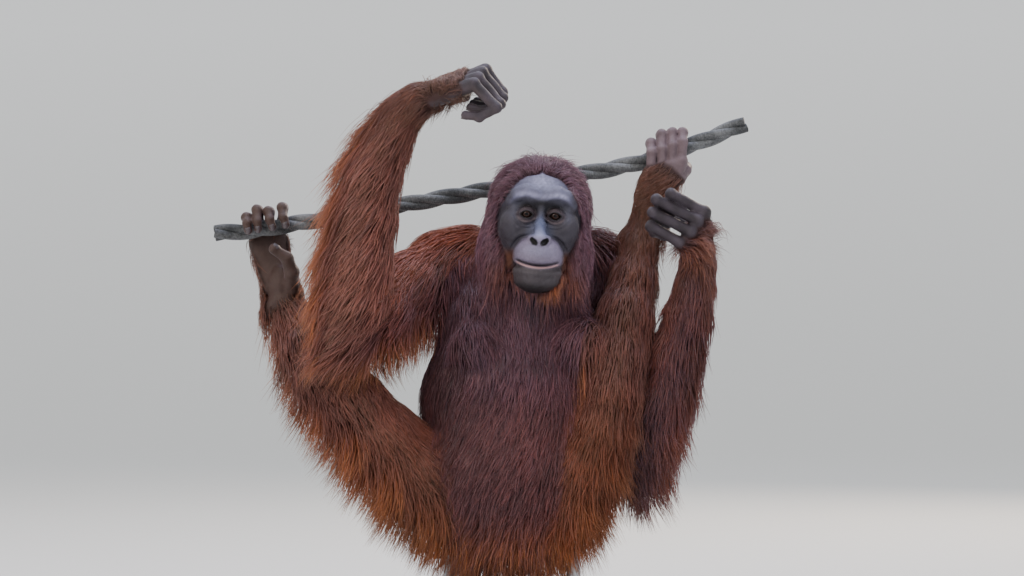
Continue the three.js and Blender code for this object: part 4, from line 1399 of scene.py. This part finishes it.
def nail_mesh(line, radii, name):
    """A curved nail on the back of a digit's tip."""
    p = np.array(line, float)
    along = unit(p[-1] - p[-2])
    inner = p[-4:].mean(axis=0) if len(p) > 3 else p.mean(axis=0)
    back = (p[-1] + p[-2]) / 2 - inner
    back = unit(back - along * (back @ along))
    if len(p) == 3:
        back = unit(np.cross(along, (0.2, 1.0, 0.1)))
    side = np.cross(along, back)
    tip = radii[min(len(p), len(radii)) - 1]
    rows, columns = 7, 9
    grid = []
    for thick in (0.5, -0.9):
        for i in range(rows):
            s = i / (rows - 1)
            for j in range(columns):
                turn = math.radians(-52 + 104 * j / (columns - 1)) * (1 - 0.25 * (1 - s) ** 2 - 0.3 * s ** 4)
                reach = tip + thick + 0.7 - 1.1 * s ** 3
                grid.append(p[-1] + along * (-4.5 + 11.5 * s - 2.0 * (j / (columns - 1) * 2 - 1) ** 2 * s)
                            + reach * (math.cos(turn) * back + math.sin(turn) * side * 0.95))
    half = rows * columns
    faces = []
    for i in range(rows - 1):
        for j in range(columns - 1):
            a = i * columns + j
            faces.append((a, a + 1, a + columns + 1, a + columns))
            faces.append((half + a, half + a + columns, half + a + columns + 1, half + a + 1))
    rim = list(range(columns)) + [i * columns + columns - 1 for i in range(1, rows)]
    rim += [(rows - 1) * columns + j for j in range(columns - 2, -1, -1)]
    rim += [i * columns for i in range(rows - 2, 0, -1)]
    for a, b in zip(rim, rim[1:] + rim[:1]):
        faces.append((a, half + a, half + b, b))
    faces = np.array(faces)
    points = np.array(grid)
    centre = points.mean(axis=0)
    a, b, c = (points[faces[0, i]] for i in range(3))
    if np.dot(np.cross(b - a, c - a), a - p[-1]) < 0:
        faces = faces[:, ::-1]
    return build_mesh(name, points, faces)


def make_eyes_and_nails():
    wet = eye_material()
    for name, side in (("eye_right", -1), ("eye_left", 1)):
        ball = add_piece(name + "_ball", make_eye(name + "_ball", side), wet)
        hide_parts(name)
    horn = nail_material()
    for grip, lines in DIGITS.items():
        for i, (line, radii) in enumerate(zip(lines, DIGIT_RADII[grip])):
            name = f"nail_{grip}_{i + 1}"
            add_piece(name, nail_mesh(line, radii, name), horn)


# The rope

def rope_tree():
    """Three strands laid round the rope's middle line."""
    tree = bpy.data.node_groups.new("laid_rope", "GeometryNodeTree")
    tree.interface.new_socket("Geometry", in_out="INPUT", socket_type="NodeSocketGeometry")
    for name in ("Strand Radius", "Strand Offset", "Lay Length"):
        tree.interface.new_socket(name, in_out="INPUT", socket_type="NodeSocketFloat")
    tree.interface.new_socket("Material", in_out="INPUT", socket_type="NodeSocketMaterial")
    tree.interface.new_socket("Geometry", in_out="OUTPUT", socket_type="NodeSocketGeometry")
    given = add(tree, "NodeGroupInput")
    line = add(tree, "GeometryNodeMeshToCurve", {"Mesh": given.outputs["Geometry"]})
    even = add(tree, "GeometryNodeResampleCurve", {"Curve": line.outputs[0], "Length": 0.005}, mode="LENGTH")
    spline = add(tree, "GeometryNodeSplineParameter")
    kept = add(tree, "GeometryNodeStoreNamedAttribute",
               {"Geometry": even.outputs[0], "Name": "along", "Value": spline.outputs["Length"]},
               data_type="FLOAT", domain="POINT")
    circle = add(tree, "GeometryNodeCurvePrimitiveCircle",
                 {"Resolution": 12, "Radius": given.outputs["Strand Radius"]})
    profile = add(tree, "GeometryNodeStoreNamedAttribute",
                  {"Geometry": circle.outputs[0], "Name": "around", "Value": spline.outputs["Factor"]},
                  data_type="FLOAT", domain="POINT")
    normal = add(tree, "GeometryNodeInputNormal").outputs[0]
    tangent = add(tree, "GeometryNodeInputTangent").outputs[0]
    crossed = add(tree, "ShaderNodeVectorMath", {0: tangent, 1: normal}, operation="CROSS_PRODUCT")
    across = crossed.outputs["Vector"]
    turns = add(tree, "ShaderNodeMath",
                {0: spline.outputs["Length"], 1: given.outputs["Lay Length"]}, operation="DIVIDE")
    joined = add(tree, "GeometryNodeJoinGeometry")
    for strand in range(3):
        phase = add(tree, "ShaderNodeMath", {0: turns.outputs[0], 1: strand / 3}, operation="ADD")
        angle = add(tree, "ShaderNodeMath", {0: phase.outputs[0], 1: 2 * math.pi}, operation="MULTIPLY")
        parts = []
        for kind, way in (("COSINE", normal), ("SINE", across)):
            amount = add(tree, "ShaderNodeMath", {0: angle.outputs[0]}, operation=kind)
            reach = add(tree, "ShaderNodeMath", {0: amount.outputs[0], 1: given.outputs["Strand Offset"]},
                        operation="MULTIPLY")
            part = add(tree, "ShaderNodeVectorMath", {0: way, "Scale": reach.outputs[0]}, operation="SCALE")
            parts.append(part.outputs["Vector"])
        offset = add(tree, "ShaderNodeVectorMath", {0: parts[0], 1: parts[1]}, operation="ADD")
        moved = add(tree, "GeometryNodeSetPosition",
                    {"Geometry": kept.outputs[0], "Offset": offset.outputs["Vector"]})
        tube = add(tree, "GeometryNodeCurveToMesh",
                   {"Curve": moved.outputs[0], "Profile Curve": profile.outputs[0], "Fill Caps": True})
        tree.links.new(tube.outputs[0], joined.inputs[0])
    real = add(tree, "GeometryNodeRealizeInstances", {"Geometry": joined.outputs[0]})
    dressed = add(tree, "GeometryNodeSetMaterial",
                  {"Geometry": real.outputs[0], "Material": given.outputs["Material"]})
    add(tree, "NodeGroupOutput", {"Geometry": dressed.outputs[0]})
    return tree


def make_rope():
    """The perch: a cut length of laid rope."""
    xs = np.linspace(ROPE_HEIGHTS[0][0], ROPE_HEIGHTS[-1][0], ROPE_STATIONS)
    zs = np.interp(xs, *zip(*ROPE_HEIGHTS))
    zs[1:-1] = (zs[:-2] + 2 * zs[1:-1] + zs[2:]) / 4
    line = bpy.data.meshes.new("rope_line")
    middle = [(x * MM, ROPE_Y * MM, z * MM) for x, z in zip(xs, zs)]
    line.from_pydata(middle, [(i, i + 1) for i in range(ROPE_STATIONS - 1)], [])
    carrier = new_object("rope_line", line)
    tree = rope_tree()
    laid = carrier.modifiers.new("laid", "NODES")
    laid.node_group = tree
    strand = ROPE_RADIUS * MM * STRAND_SHARE
    sizes = {
        "Strand Radius": strand, "Strand Offset": ROPE_RADIUS * MM - strand, "Lay Length": LAY_LENGTH,
        "Material": rope_material(),
    }
    for socket in tree.interface.items_tree:
        if socket.in_out == "INPUT" and socket.name in sizes:
            laid[socket.identifier] = sizes[socket.name]
    mesh = applied(carrier)
    bpy.data.objects.remove(carrier)
    rope = new_object("laid_perch_rope", mesh)
    mesh.polygons.foreach_set("use_smooth", np.ones(len(mesh.polygons), bool))
    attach(rope, "root")
    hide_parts("perch_rope")


def dress_stand():
    coating, steel = powder_coat_material(), brushed_steel_material()
    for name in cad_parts:
        if name.startswith("stand_"):
            node = bpy.data.objects[name]
            for slot in node.material_slots:
                slot.material = steel if "rod" in name else coating


# Stage, lights and camera

def make_stage():
    """A pale floor that curves up into a wall all round, outside the camera's path."""
    profile = [(0.0, 0.0)]
    profile += [(6.6 + 8.4 * math.sin(a), 5.0 * (1 - math.cos(a))) for a in np.linspace(0, math.pi / 2, 25)]
    columns = 96
    vertices, faces = [(0.0, 0.0, 0.0)], []
    for reach, height in profile[1:]:
        for turn in np.arange(columns) * 2 * math.pi / columns:
            vertices.append((reach * math.cos(turn), reach * math.sin(turn), height))
    for j in range(columns):
        k = (j + 1) % columns
        faces.append((0, 1 + j, 1 + k))
        for i in range(len(profile) - 2):
            a, b = 1 + i * columns + j, 1 + i * columns + k
            faces.append((a, a + columns, b + columns, b))
    mesh = bpy.data.meshes.new("pale_floor")
    mesh.from_pydata(vertices, [], faces)
    mesh.polygons.foreach_set("use_smooth", np.ones(len(mesh.polygons), bool))
    floor = new_object("pale_floor", mesh)
    finish, tree, shader = new_material("matt_pale_paper")
    where = add(tree, "ShaderNodeTexCoord").outputs["Object"]
    parts = add(tree, "ShaderNodeSeparateXYZ", {"Vector": where})
    # Paler higher up: painted light that makes up for the wall getting less light than the floor
    height = add(tree, "ShaderNodeMapRange", {"Value": parts.outputs["Z"], "From Min": 0.0, "From Max": 2.0})
    colour = add(tree, "ShaderNodeMix", {"Factor": height.outputs["Result"], "A": linear("#d8d8d5"),
                                         "B": linear("#f7f7f5")}, data_type="RGBA")
    fill(tree, shader, {"Base Color": colour.outputs["Result"], "Roughness": 0.9})
    mesh.materials.append(finish)


# Place, size, power and colour of each lamp
LAMP_TARGET = np.array((0.0, 0.0, 0.55))
LAMPS = {
    "key": ((-2.6, -3.4, 3.4), 2.4, 125, "#fff4e6"),
    "fill": ((3.2, -3.8, 1.6), 2.4, 30, "#e6ecff"),
    "top": ((0.3, 0.6, 3.6), 2.2, 105, "#dfe4ff"),
    "rim": ((1.8, 3.4, 2.2), 1.6, 90, "#ffe9d2"),
}


def aim(thing, at):
    """Turns a lamp so that it shines at a point."""
    away = np.array(thing.location) - at
    flat = math.hypot(away[0], away[1])
    thing.rotation_euler = (math.atan2(flat, away[2]), 0.0, math.atan2(away[0], -away[1]))


def light_the_stage():
    for name, (at, size, power, code) in LAMPS.items():
        data = bpy.data.lights.new(name, "AREA")
        data.size = size
        data.energy = power
        data.color = linear(code)[:3]
        lamp = new_object(name, data)
        lamp.location = at
        aim(lamp, LAMP_TARGET)
    world = bpy.data.worlds.new("soft_room")
    bpy.context.scene.world = world
    world.use_nodes = True
    sky = world.node_tree.nodes["Background"]
    sky.inputs["Color"].default_value = linear("#e6e8ec")
    sky.inputs["Strength"].default_value = 1.2


def make_camera():
    data = bpy.data.cameras.new("camera")
    camera = bpy.data.objects.new("camera", data)
    bpy.context.scene.collection.objects.link(camera)
    camera.location = CAMERA_AT
    camera.rotation_euler = (math.radians(90), 0, 0)
    data.sensor_width = SENSOR_WIDTH
    data.lens = SENSOR_WIDTH * -CAMERA_AT[1] / FRAME_WIDTH
    bpy.context.scene.camera = camera


make_camera()
skin_points, skin_triangles = make_skin()
make_coat(skin_points, skin_triangles)
make_eyes_and_nails()
make_rope()
dress_stand()
make_stage()
light_the_stage()
